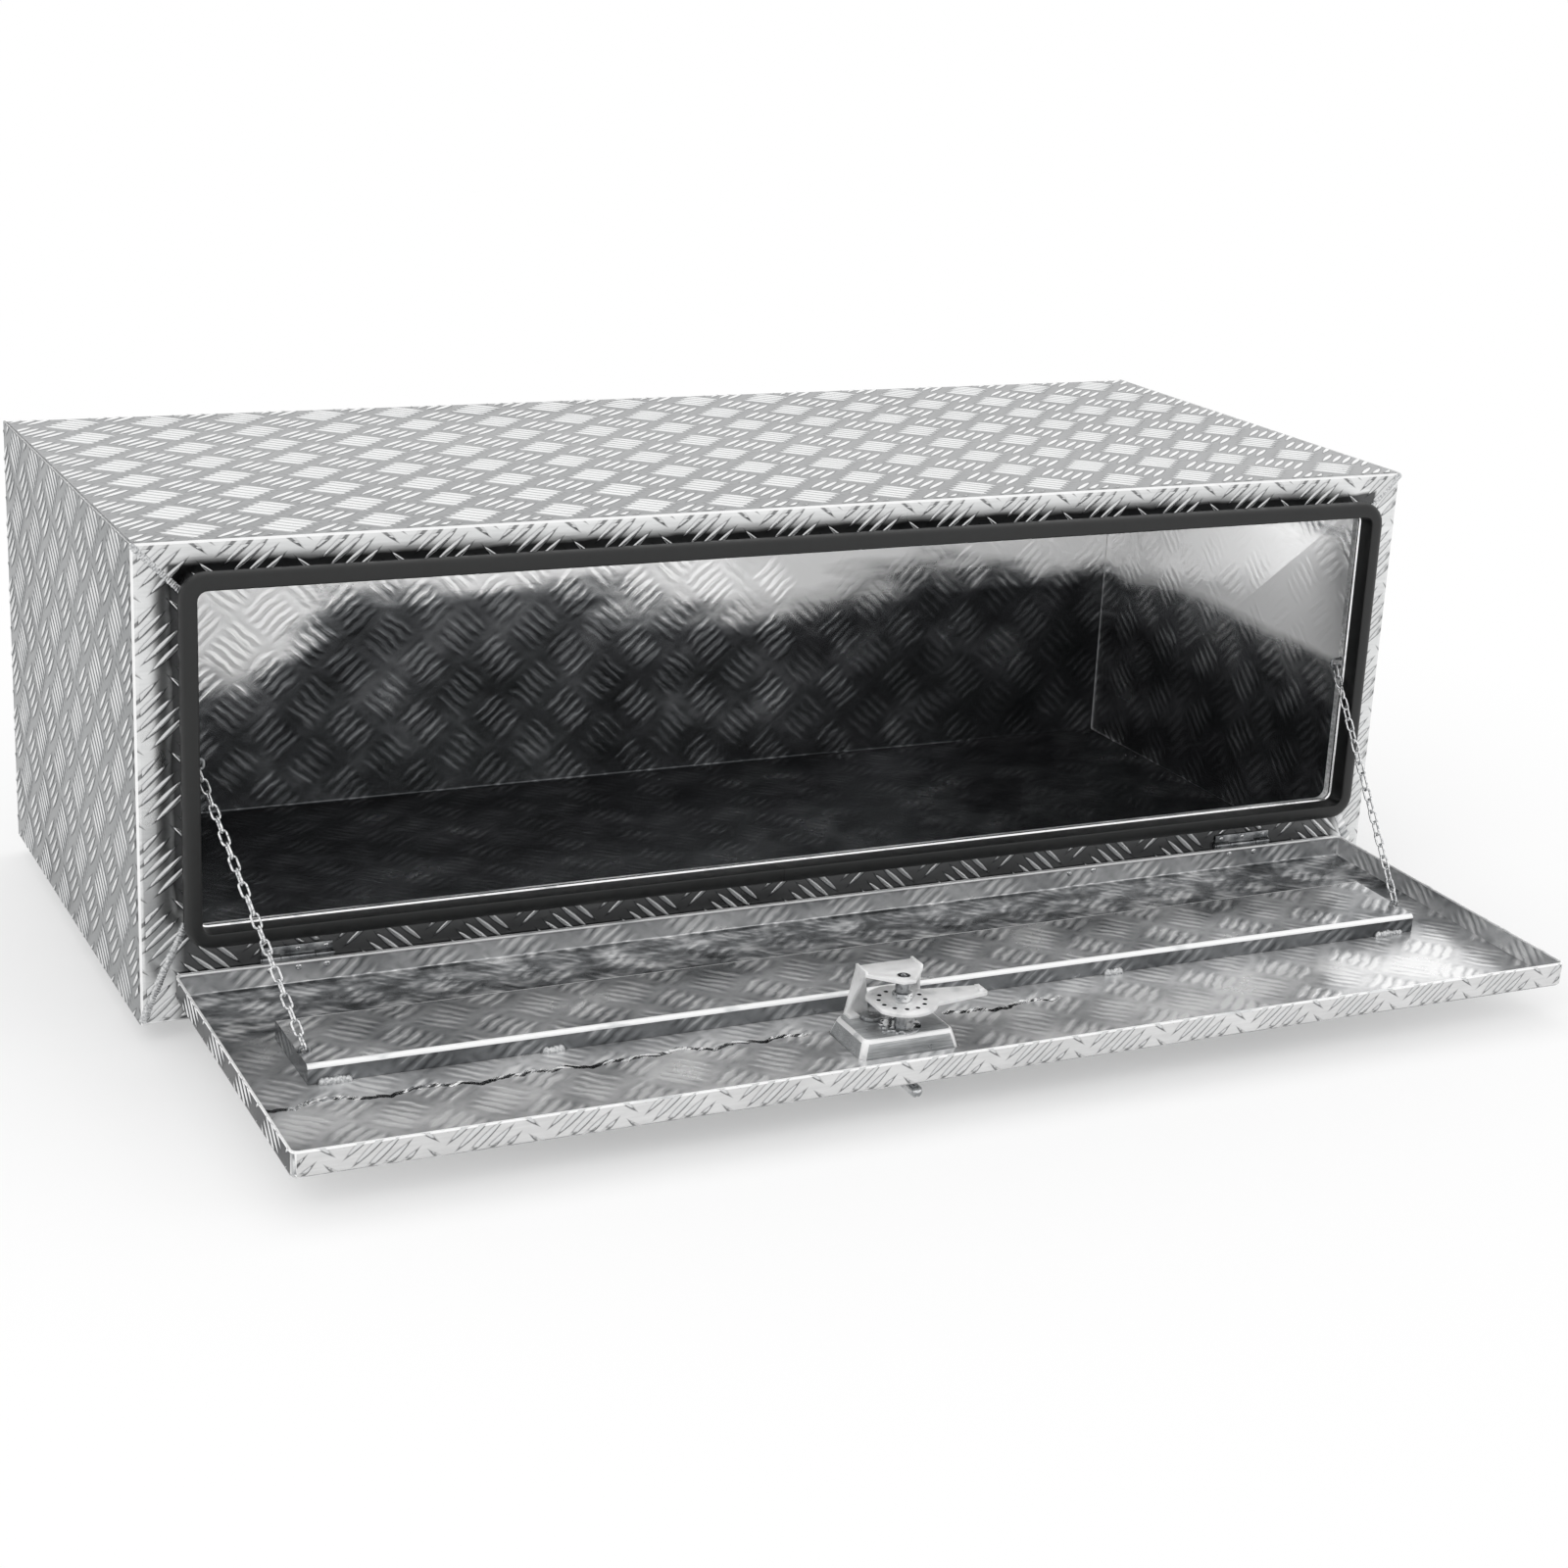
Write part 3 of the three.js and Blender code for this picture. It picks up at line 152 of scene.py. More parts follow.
# Painted light of the tread plate: tones of its faces that look up, aside, ahead and elsewhere, lighter or darker as
# the studio's light falls on each side
BOX_PAINTED_LIGHT_TONES = ("#a6a7a8", "#989a9b", "#e9eaea", "#a3a5a6")
DOOR_PAINTED_LIGHT_TONES = ("#a9aaab", "#494a4c", "#e0e0e0", "#cfd0d0")

# Painted light of the bars by the face that they stand on: shaded foot, flank and highlighted crown
BAR_PAINTED_LIGHT_TONES = {
    "top": ("#a0a2a3", "#f0f1f1", "#ffffff"),
    "side": ("#606264", "#b4b6b7", "#f4f4f4"),
    "front": ("#b4b6b7", "#d0d1d2", "#dadbdb"),
    "flange": ("#2c2d2e", "#c4c5c6", "#ffffff"),
}

# Finishes of one pattern: metallic share, roughness, colour (None for one from the panel), the pattern (grain
# size in millimetres, detail, how far drawn out and turned), its colours, its roughness from low to high, the
# height of its relief in metres and finer grain for that. Plating and brush lines are drawn coarser than real.
FINISHES = {
    # Bead rolled along the lip, polished by the roller: mirror bright with faint dull spots
    "aluminium_bead_rolled_bright": (
        1.0, 0.14, "#fbfbfb", (25, 3.0), ((0.3, "#cfd0d1"), (0.44, "#fdfdfd")), (0.24, 0.1)),
    # Inside of the cam's holes, punched steel: bare and dark, painted shade
    "steel_hole_painted_shade": (1.0, 0.5, "#2b2b2c", (1.111, 2.0), ((0.35, "#161616"), (0.7, "#3c3d3e"))),
    # Ribbed clip of the seal, pressed steel in thin rubber: the ribs catch light as a pale grey line
    "rubber_clip_ribbed": (
        0.3, 0.4, "#8d9093", (11.11, 3.0), ((0.35, "#707376"), (0.65, "#a9acae")), None, 0.0001),
    # Weld ground flush with a flap disc: bright short scratches that run across the joint
    "aluminium_weld_ground": (
        1.0, 0.28, "#d4d5d6", (3.846, 3.0, (1.0, 1.0, 10.0), (0.0, math.radians(50), 0.0)),
        ((0.34, "#8e9092"), (0.5, "#cfd0d1"), (0.66, "#f6f6f6")), None, 0.0002),
    # Hinge and eyes of mild steel, stamped and zinc plated: clean grey with slightly dull patches
    "steel_stamped_zinc_plated": (
        1.0, 0.28, "#b9bbbd", (13.33, 4.0), ((0.34, "#6c6e70"), (0.5, "#96989a"), (0.68, "#c9cacb")),
        (0.2, 0.4), 0.00004, (0.6667, 2.0)),
    # Blind rivets, cold headed and tumbled: smooth bright domes with small nicks
    "aluminium_rivet_tumbled": (
        1.0, 0.2, "#e2e3e4", (2, 3.0), ((0.36, "#9b9d9f"), (0.48, "#dcddde"), (0.66, "#f5f5f5")), None, 0.0001),
    # Chain of steel wire, welded and nickel plated: bright with darker insides where links rub
    "steel_chain_nickel_plated": (
        1.0, 0.14, "#d9dadb", (3.03, 3.0), ((0.36, "#a5a7a9"), (0.47, "#dfe0e1"), (0.66, "#fafafa")),
        (0.1, 0.24), 0.00008),
    # Gasket of moulded rubber: flat black with a fine matt grain
    "rubber_gasket_moulded": (
        0.0, 0.62, "#151617", (0.7143, 3.0), ((0.35, "#101112"), (0.7, "#232526")), None, 0.00008),
    # Latch bracket and cam of steel, zinc plated and passivated: a pale film that scatters light, a little cloudy
    "steel_latch_bright_zinc": (
        0.3, 0.38, None, (18.18, 4.0), ((0.3, "#dcdddd"), (0.46, None), (0.68, "#fafafa")),
        (0.28, 0.42), 0.00007, (0.7692, 2.0)),
    # Nut, disc, lock and handle, polished and chrome plated: sharp highlights and slightly dark hollows
    "steel_polished_chrome_plated": (
        1.0, 0.08, None, (8.333, 3.0), ((0.36, "#a9abad"), (0.5, None), (0.7, "#f7f7f7")), (0.05, 0.16), 0.00005),
    # Lock barrel of die-cast zinc, lightly plated: smooth mid grey, duller than the chrome
    "zinc_lock_die_cast": (
        1.0, 0.36, "#b2b4b5", (3.846, 4.0), ((0.34, "#8b8d8f"), (0.52, "#b2b4b5"), (0.68, "#d3d4d5")), None, 0.00012),
}

# Folds and rims of the sheet in painted highlight: a nearly white line with dull spots, drawn out by this much
PAINTED_EDGE_HIGHLIGHTS = {"aluminium_rim_painted_highlight": 4.0, "aluminium_fold_painted_highlight": 3.0, "stainless_steel_round_painted_highlight": 1.0}
FINISHES.update({name: (0.35, 0.35, "#fafafa", (16.67, 3.0, (drawn_out, 1.0, 1.0)),
                        ((0.3, "#cfd1d2"), (0.44, "#fbfbfb"))) for name, drawn_out in PAINTED_EDGE_HIGHLIGHTS.items()})

# How long the bends of the pressed bars are, in millimetres
BEND_SIZE = 20

# Where most values of a noise lie
USUAL = (0.3, 0.7)

# Kinds of node that are used most
MATH, VECTOR_MATH, MAP_RANGE = "ShaderNodeMath", "ShaderNodeVectorMath", "ShaderNodeMapRange"
COLOUR_RAMP, MIX, ATTRIBUTE = "ShaderNodeValToRGB", "ShaderNodeMix", "ShaderNodeAttribute"
COORDINATES, NOISE = "ShaderNodeTexCoord", "ShaderNodeTexNoise"
SPLIT, COMBINE = "ShaderNodeSeparateXYZ", "ShaderNodeCombineXYZ"
TRANSFORM, JOIN = "GeometryNodeTransform", "GeometryNodeJoinGeometry"
INSTANCES = "GeometryNodeInstanceOnPoints"

# The frame's axes
UP, BACKWARD, RIGHTWARD = Vector((0, 0, 1)), Vector((0, 1, 0)), Vector((1, 0, 0))


def length(name, description, default, least=0.0):
    """A length for the panel."""
    return bpy.props.FloatProperty(name=name, description=description, default=default, min=least, unit="LENGTH")


class ToolBoxPlateSettings(bpy.types.PropertyGroup):
    """Sizes of the five-bar tread pattern."""

    bar_length: length("Bar length", "Length of one raised bar", 0.041, 0.01)
    bar_width: length("Bar width", "Width of a bar at its middle", 0.0048, 0.001)
    bar_height: length("Bar height", "How far a bar stands up", 0.001, 0.0002)
    bar_spacing: length("Bar spacing", "Distance between two bars of a group", 0.0094)
    bar_angle: bpy.props.FloatProperty(
        name="Bar angle", description="Turn of the bars against the plate's length",
        default=math.radians(42), subtype="ANGLE")
    long_pitch: length("Long pitch", "Distance of like groups along the plate", 0.079)
    short_pitch: length("Short pitch", "Distance of like groups across the plate", 0.063)


class ToolBoxWeldSettings(bpy.types.PropertyGroup):
    """Sizes of the weld beads."""

    bead_width: length("Bead width", "Width of the mitre's weld", 0.0078)
    bead_height: length("Bead height", "How far the weld stands up", 0.0016)
    ripple_pitch: length("Ripple pitch", "Distance of the weld's ripples", 0.0022)


class ToolBoxChainSettings(bpy.types.PropertyGroup):
    """Sizes of the stay chains."""

    link_length: length("Link length", "Outer length of a link", 0.016)
    joining_length: length("Joining link length", "Outer length of the link between the halves", 0.0202)
    link_width: length("Link width", "Outer width of a link", 0.0085)
    wire: length("Wire", "Thickness of the link's wire", 0.002)
    pitch: length("Pitch", "Distance from link to link", 0.0119)
    count: bpy.props.IntProperty(name="Links", description="Links in each half", default=10, min=1)


class ToolBoxColourSettings(bpy.types.PropertyGroup):
    """Colours of the main finishes, as sRGB hex."""

    rubber: bpy.props.StringProperty(name="Rubber", description="Door seal", default="#0d0e0e")
    zinc: bpy.props.StringProperty(name="Zinc", description="Latch bracket and cam", default="#f2f2f2")
    chrome: bpy.props.StringProperty(name="Chrome", description="Nut, disc and handle", default="#e9eaeb")


# Nodes and colours

def linear(code):
    """Turns an sRGB hex colour into linear values."""
    parts = [int(code[i:i + 2], 16) / 255 for i in (1, 3, 5)]
    return (*[p / 12.92 if p <= 0.04045 else ((p + 0.055) / 1.055) ** 2.4 for p in parts], 1.0)


def fill(node, inputs):
    """Links inputs of a node to values that other nodes give, or sets them to plain ones."""
    for key, value in inputs.items():
        for part in value if isinstance(value, list) else [value]:
            if isinstance(part, Value):
                node.id_data.links.new(part.socket, node.inputs[key])
            else:
                node.inputs[key].default_value = part


def add(tree, kind, *inputs, stops=(), **settings):
    """Adds a node, sets it up and fills its inputs, by name or in their order; gives its first output."""
    node = tree.nodes.new(kind)
    for name, value in settings.items():
        setattr(node, name, value)
    if stops:
        elements = node.color_ramp.elements
        while len(elements) < len(stops):
            elements.new(0.5)
        for element, (position, code) in zip(elements, stops):
            element.position, element.color = position, linear(code)
    if inputs and isinstance(inputs[0], dict):
        fill(node, inputs[0])
    else:
        fill(node, dict(zip((key for key, socket in enumerate(node.inputs) if socket.enabled), inputs)))
    return next((Value(output) for output in node.outputs if output.enabled), None)


def reckoned(operation, swapped=False):
    """An operator that adds the node for one sum, of vectors if a vector takes part in it."""
    def operator(value, *other):
        terms = (*other, value) if swapped else (value, *other)
        among = [isinstance(term, tuple) or isinstance(term, Value) and term.socket.type in ("VECTOR", "RGBA")
                 for term in terms]
        return add(value.socket.id_data, VECTOR_MATH if any(among) else MATH, *terms, operation=operation)
    return operator


class Value:
    """What a node gives, to reckon with in plain sums."""

    def __init__(self, socket):
        self.socket = socket

    def __getitem__(self, key):
        """Another output of the same node."""
        return Value(self.socket.node.outputs[key])

    __add__, __radd__ = reckoned("ADD"), reckoned("ADD", True)
    __sub__, __rsub__ = reckoned("SUBTRACT"), reckoned("SUBTRACT", True)
    __mul__, __truediv__, __mod__ = reckoned("MULTIPLY"), reckoned("DIVIDE"), reckoned("MODULO")
    __abs__ = reckoned("ABSOLUTE")


def grain(tree, size, detail, length=(1.0, 1.0, 1.0), turn=(0.0, 0.0, 0.0), rough=0.55, place=None):
    """Noise with grains of a size in millimetres, drawn out along turned axes; the place is in metres."""
    if place is None:
        place = add(tree, COORDINATES)["Object"]
    moved = add(tree, "ShaderNodeMapping", {"Vector": place, "Rotation": turn, "Scale": length}, vector_type="TEXTURE")
    return add(tree, NOISE, {"Vector": moved, "Scale": 1 / (size * MM), "Detail": detail, "Roughness": rough})


def surface_of(name, metallic, roughness, colour=None):
    """A new material with its shader."""
    material = bpy.data.materials.new(name)
    material.use_nodes = True
    shader = material.node_tree.nodes["Principled BSDF"]
    shader.inputs["Metallic"].default_value = metallic
    shader.inputs["Roughness"].default_value = roughness
    if colour is not None:
        shader.inputs["Base Color"].default_value = linear(colour)
    material.diffuse_color = linear(colour or "#b0b0b0")
    return material, material.node_tree, shader


def bumped(tree, shader, height, distance, below=None):
    """Gives the shader a bump, on top of one that it may have."""
    normal = add(tree, "ShaderNodeBump", {"Height": height, "Distance": distance})
    if below is not None:
        fill(normal.socket.node, {"Normal": below})
    fill(shader, {"Normal": normal})
    return normal


def stored(tree, name):
    """A vector that the mesh carries at its corners, and its three numbers."""
    vector = add(tree, ATTRIBUTE, attribute_name=name)["Vector"]
    return vector, add(tree, SPLIT, vector)


def stamped_set(tree, place, plate, turn, shift):
    """In millimetres: how far a place lies inside a bar, on which side of it, and how far inside its group."""
    pitch = (plate.long_pitch / MM, plate.short_pitch / MM, 1.0)
    cell = place / pitch + shift
    offset = add(tree, VECTOR_MATH, cell, operation="FRACTION") - (0.5, 0.5, 0.5)
    turned = add(tree, "ShaderNodeVectorRotate", {"Vector": offset * pitch, "Angle": -turn}, rotation_type="Z_AXIS")
    split = add(tree, SPLIT, turned)
    spacing, reach = plate.bar_spacing / MM, plate.bar_length / MM / 2
    bar = add(tree, MATH, split[1] / spacing, operation="ROUND")
    bar = add(tree, MATH, add(tree, MATH, bar, 2.0, operation="MINIMUM"), -2.0, operation="MAXIMUM")
    aside = split[1] - bar * spacing
    along = split / reach
    taper = 1.0 - along * along
    half = taper * (plate.bar_width / MM / 2)
    inside = half - abs(aside)
    lengthwise = reach * 0.7 - abs(split)
    sideways = spacing * 2.35 - abs(split[1])
    return inside, aside, add(tree, MATH, lengthwise, sideways, operation="MINIMUM")


def stamped_both(tree, plate, wobble=0.0):
    """The same for the two sets of groups, which lean to either side, bent by a wobble in millimetres."""
    place, _ = stored(tree, "plate")
    if wobble:
        bent = add(tree, NOISE, {"Vector": place, "Scale": 1 / BEND_SIZE, "Detail": 2.0})["Color"]
        centred = bent - (0.5, 0.5, 0.5)
        place = place + centred * (wobble, wobble, 0.0)
    rising = stamped_set(tree, place, plate, plate.bar_angle, (0.0, 0.5, 0.5))
    falling = stamped_set(tree, place, plate, -plate.bar_angle, (0.5, 0.0, 0.5))
    return rising, falling


# Finishes

def finish(name, own_colour=None):
    """A finish of the table: its pattern gives the colour, and where listed the dullness and the relief."""
    metallic, roughness, colour, pattern, stops, dull, height, finer = (*FINISHES[name], None, None, None)[:8]
    colour = colour or own_colour
    material, tree, shader = surface_of(name, metallic, roughness, colour)
    marks = grain(tree, *pattern)
    fill(shader, {"Base Color": add(tree, COLOUR_RAMP, marks, stops=[(spot, code or colour) for spot, code in stops])})
    if dull:
        fill(shader, {"Roughness": add(tree, MAP_RANGE, marks, *USUAL, *dull)})
    if height:
        bumped(tree, shader, grain(tree, *finer) if finer else marks, height)
    return material


def rolled_tread_plate(plate, name, tones, on_box):
    """Aluminium tread plate, hot rolled: satin, with painted shade as a dark line at the foot of each bar and soft
    smears.

    Each face has the tone that the studio gives to its side of the box: up, aside or to the front.
    """
    # Painted light: each face takes the tone of the way it looks, lit or shaded as the studio's light falls on that
    # side
    up_tone, side_tone, front_tone, rest_tone = (linear(code) for code in tones)
    material, tree, shader = surface_of(name, 1.0, 0.34, tones[0])
    rising, falling = stamped_both(tree, plate)
    looks_at, looks = stored(tree, "looks")
    up = add(tree, MAP_RANGE, looks[2], 0.3, 0.85, 0.0, 1.0)
    side = add(tree, MAP_RANGE, abs(looks[0]), 0.3, 0.85, 0.0, 1.0)
    front = add(tree, MAP_RANGE, looks[1], -0.85, -0.3, 1.0, 0.0)
    tone = add(tree, MIX, side, add(tree, MIX, up, rest_tone, up_tone, data_type="RGBA"), side_tone, data_type="RGBA")
    tone = add(tree, MIX, front, tone, front_tone, data_type="RGBA")
    # Painted reflection: whole groups of falling bars turn white on faces that look up
    whole = add(tree, MAP_RANGE, falling[2], -0.3, 0.5, 0.0, 0.85) * up
    tone = add(tree, MIX, whole, tone, linear("#ffffff"), data_type="RGBA")
    # Painted reflection: whole groups of rising bars turn pale on the box's sides
    pale = add(tree, MAP_RANGE, rising[2], -0.3, 0.5, 0.0, 0.6 if on_box else 0.0) * side
    tone = add(tree, MIX, pale, tone, linear("#e2e3e3"), data_type="RGBA")
    smear = grain(tree, 111.1, 4.0)
    fine = grain(tree, 2.5, 2.0, (10.0, 1.0, 1.0))
    shade = add(tree, MAP_RANGE, smear, *USUAL, 0.84, 1.06) + add(tree, MAP_RANGE, fine, *USUAL, -0.05, 0.05)
    toned = add(tree, MIX, 1.0, tone, add(tree, COMBINE, shade, shade, shade), data_type="RGBA", blend_type="MULTIPLY")
    # Painted shade: a dark line at the foot of each bar, weaker on faces that look up
    foot = add(tree, MATH, painted_bar_foot_shade(tree, rising, front), painted_bar_foot_shade(tree, falling, front), operation="MAXIMUM")
    foot = foot * add(tree, MAP_RANGE, up, 0.0, 1.0, 0.85, 0.35)
    toned = add(tree, MIX, foot, toned, linear("#3c3e40"), data_type="RGBA")
    # Painted highlight: the rounded folds between faces, where no axis leads, turn nearly white
    sizes = add(tree, SPLIT, abs(looks_at))
    largest = add(tree, MATH, add(tree, MATH, sizes[0], sizes[1], operation="MAXIMUM"), sizes[2], operation="MAXIMUM")
    toned = add(tree, MIX, add(tree, MAP_RANGE, largest, 0.86, 0.98, 0.9, 0.0), toned, linear("#ffffff"),
                data_type="RGBA")
    if on_box:
        toned = add(tree, MIX, seal_shadow(tree) * front, toned, linear("#3b3c3d"), data_type="RGBA")
    fill(shader, {"Base Color": toned, "Roughness": add(tree, MAP_RANGE, smear, *USUAL, 0.26, 0.42)})
    bumped(tree, shader, fine, 0.00005)
    return material


def painted_bar_foot_shade(tree, stamped, front):
    """Painted shade round a bar, a dark line: even on most faces, and strong on one side only where the face looks
    ahead.
    """
    inside, aside, _ = stamped
    line = add(tree, MAP_RANGE, inside, add(tree, MAP_RANGE, front, 0.0, 1.0, -1.5, -1.1), -0.1, 0.0, 1.0)
    one_side = add(tree, MAP_RANGE, aside, -0.4, 0.4, 1.0, 0.25)
    return line * add(tree, MAP_RANGE, front, 0.0, 1.0, 1.0, one_side)


def seal_shadow(tree):
    """The dark band that the black seal throws on the front of the box, broad under the opening."""
    x, _, z = add(tree, SPLIT, add(tree, COORDINATES)["Object"])
    x = abs(x)
    wave = add(tree, MAP_RANGE, grain(tree, 45.45, 2.0), *USUAL, -0.002, 0.002)
    near = add(tree, MATH, x - HOLE_HALF_WIDTH, z - HOLE_HIGH, operation="MAXIMUM") + wave
    band = add(tree, MAP_RANGE, near, 0.0115, 0.0145, 1.0, 0.0)
    band = band * add(tree, MAP_RANGE, z, HOLE_LOW, HOLE_LOW + 0.02, 0.0, 1.0)
    below = add(tree, MAP_RANGE, z, HOLE_LOW - 0.004, HOLE_LOW, 0.88, 0.0)
    below = below * add(tree, MAP_RANGE, x, 0.572, 0.584, 1.0, 0.0)
    return add(tree, MATH, band * 0.92, below, operation="MAXIMUM")


def painted_light_bars(name, foot, flank, crown):
    """Tops of the tread bars, pressed by the roll: bright ridge as a painted highlight, dull dark foot as painted
    shade.
    """
    material, tree, shader = surface_of(name, 1.0, 0.3, crown)
    ridge = add(tree, ATTRIBUTE, attribute_name="ridge")["Fac"]
    # Painted light: from a shaded foot up to a highlighted crown, by the bar's height
    tone = add(tree, COLOUR_RAMP, ridge, stops=[(0.02, foot), (0.4, flank), (0.85, crown)])
    rub = grain(tree, 16.67, 3.0)
    toned = add(tree, MIX, add(tree, MAP_RANGE, rub, 0.4, 0.75, 0.0, 0.5), tone, linear(flank), data_type="RGBA")
    fill(shader, {"Base Color": toned, "Roughness": add(tree, MAP_RANGE, rub, *USUAL, 0.24, 0.38)})
    return material


def inner_light(tree):
    """How bright the box's inner walls are: white where they mirror the studio, near black lower down."""
    place = add(tree, COORDINATES)["Object"]
    drips = add(tree, NOISE, {"Vector": place * (7.0, 7.0, 30.0), "Scale": 1.0, "Detail": 5.0})["Color"]
    shift = (drips - (0.5, 0.5, 0.5)) * (0.2, 0.0, 0.06)
    x, y, z = add(tree, SPLIT, place + shift)
    light = 0.0
    for centre_x, centre_z, half_x, half_z in WHITE_PATCHES:
        across, rise = (x - centre_x) / half_x, (z - centre_z) / half_z
        away = across * across + rise * rise
        light = add(tree, MATH, light, add(tree, MAP_RANGE, away, 0.3, 1.7, 1.1, 0.0), operation="MAXIMUM")
    end = add(tree, MAP_RANGE, x, 0.56, 0.6, 0.0, 0.62) * add(tree, MAP_RANGE, z, 0.12, 0.26, 0.1, 1.0)
    ledge = add(tree, MAP_RANGE, y, -0.24, -0.15, 0.5, 0.0) * add(tree, MAP_RANGE, z, 0.04, 0.06, 1.0, 0.0)
    light = add(tree, MATH, add(tree, MATH, light, end, operation="MAXIMUM"), ledge, operation="MAXIMUM")
    return light + 0.2


def door_light(tree):
    """How bright the door's inside is: mid grey towards its free edge, darker and blotched by the hinges."""
    place, (across, along, _) = stored(tree, "plate")
    light = add(tree, MAP_RANGE, along, -75.0, 70.0, 0.76, 0.44)
    # Painted reflection of the lip's ledge: a wavy white line across the door's inside, clear of the latch
    wave = add(tree, MAP_RANGE, grain(tree, 41.67, 3.0, place=place * (MM, 0.0, 0.0)), *USUAL, -9.0, 9.0)
    line = abs(along + (wave + 57.0))
    line = add(tree, MAP_RANGE, line, 1.4, 3.2, 1.1, 0.0) * add(tree, MAP_RANGE, across, 80.0, 140.0, 1.0, 0.0)
    beyond = abs(across + 49.0) - 62.0
    line = line * add(tree, MAP_RANGE, beyond, 0.0, 8.0, 0.0, 1.0)
    blotch = grain(tree, 22.22, 3.0, (1.6, 0.8, 1.0))
    blotch = (blotch - 0.5) * add(tree, MAP_RANGE, along, 68.0, 84.0, 0.0, 1.8)
    return light + line + blotch


def channel_light(tree):
    """How bright the stiffening channel is: mid grey on top, dark on its front."""
    _, looks = stored(tree, "looks")
    return add(tree, MAP_RANGE, looks[2], 0.2, 0.8, 0.3, 0.56)


def bright_reverse(plate, name, metallic, light, stroke, glare=1.0):
    """Bright side of the tread plate, mill finish, brushed at the pressed-in bars: its tone is painted light, with
    cloudy painted reflections.

    The oxide film on it scatters part of the light, which a metallic share below one stands for;
    glare is that share where the sheet is at its whitest.
    """
    material, tree, shader = surface_of(name, metallic, 0.22, "#c9cacb")
    level = light(tree)
    fill(shader, {"Metallic": add(tree, MAP_RANGE, level, 0.7, 1.1, metallic, glare)})
    place, _ = stored(tree, "plate")
    place = place * (MM, MM, 0.0)
    cloud = grain(tree, 76.92, 5.0, (1.4, 1.0, 1.0), (0.0, 0.0, 0.4), 0.6, place)
    tone = level + add(tree, MAP_RANGE, cloud, 0.25, 0.75, -0.24, 0.24)
    marks = 0.0
    for (inside, _, group), way, share in zip(stamped_both(tree, plate, 9.0), (1, -1), (1.0, 0.75)):
        hairs = grain(tree, 4.762, 3.0, (9.0, 1.0, 1.0), (0.0, 0.0, plate.bar_angle * way), 0.6, place)
        within = add(tree, MAP_RANGE, group, -6.0, 3.0, 0.0, 1.0)
        brush = add(tree, MAP_RANGE, inside, -2.6, 1.6, -0.45, 0.75) * within
        brush = brush * add(tree, MAP_RANGE, hairs, 0.32, 0.62, 0.25, 1.3)
        marks = marks + brush * share
    deep = add(tree, MAP_RANGE, level, 0.1, 0.5, 0.45, 1.0) * add(tree, MAP_RANGE, level, 0.8, 1.1, 1.0, 0.3)
    tone = tone + marks * stroke * deep
    colour = add(tree, COLOUR_RAMP, tone, stops=[
        (0.0, "#343637"), (0.2, "#4f5153"), (0.42, "#7e8082"), (0.66, "#c2c3c4"), (0.9, "#fdfdfd")])
    dull = add(tree, MAP_RANGE, cloud, *USUAL, 0.12, 0.3) * add(tree, MAP_RANGE, level, 0.8, 1.1, 1.0, 0.4)
    fill(shader, {"Base Color": colour, "Roughness": dull})
    bumped(tree, shader, marks, 0.0002)
    return material


def polished_edge():
    """Aluminium lip, bead blasted: frosty white, with a painted dark reflection on its inner part; it scatters light
    evenly, so it's set mostly as a matt surface.
    """
    material, tree, shader = surface_of("aluminium_lip_blasted", 0.15, 0.45, "#f2f3f3")
    lines = grain(tree, 3.333, 3.0, (14.0, 1.0, 1.0))
    cloud = grain(tree, 71.43, 3.0)
    mixed = lines * 0.4 + cloud * 0.6
    depth = add(tree, SPLIT, add(tree, COORDINATES)["Object"])[1]
    # Painted reflection: the lip's inner part, deeper in the box, turns dark and streaky
    inner_dark_reflection = add(tree, MAP_RANGE, depth, -0.2565, -0.2525, 0.0, 0.75)
    pale = add(tree, COLOUR_RAMP, mixed, stops=[(0.3, "#dfe0e1"), (0.42, "#fafafa"), (0.62, "#ffffff")])
    dull = add(tree, COLOUR_RAMP, mixed, stops=[(0.4, "#4d4f51"), (0.5, "#a9abac"), (0.58, "#f4f4f4")])
    fill(shader, {"Base Color": add(tree, MIX, inner_dark_reflection, pale, dull, data_type="RGBA")})
    bumped(tree, shader, lines, 0.00006)
    return material


def extruded_rubber(colours):
    """Seal of foamed rubber on a clip strip, extruded: black with a soft shine and fine lengthwise lines."""
    material, tree, shader = surface_of("rubber_seal_extruded", 0.0, 0.42, colours.rubber)
    x, _, z = add(tree, SPLIT, add(tree, COORDINATES)["Object"])
    joint = add(tree, MAP_RANGE, abs(x - SEAL_JOINT), 0.0005, 0.0009, 1.0, 0.0)
    joint = joint * add(tree, MAP_RANGE, z, 0.1, 0.11, 1.0, 0.0)
    bloom = grain(tree, 8.333, 3.0)
    tone = add(tree, COLOUR_RAMP, bloom, stops=[(0.35, colours.rubber), (0.7, "#161717")])
    fill(shader, {"Base Color": add(tree, MIX, joint, tone, linear("#050505"), data_type="RGBA"),
                  "Roughness": add(tree, MAP_RANGE, bloom, *USUAL, 0.34, 0.5)})
    under = bumped(tree, shader, grain(tree, 0.4, 2.0), 0.00004)
    bumped(tree, shader, 1.0 - joint, 0.0004, under)
    return material


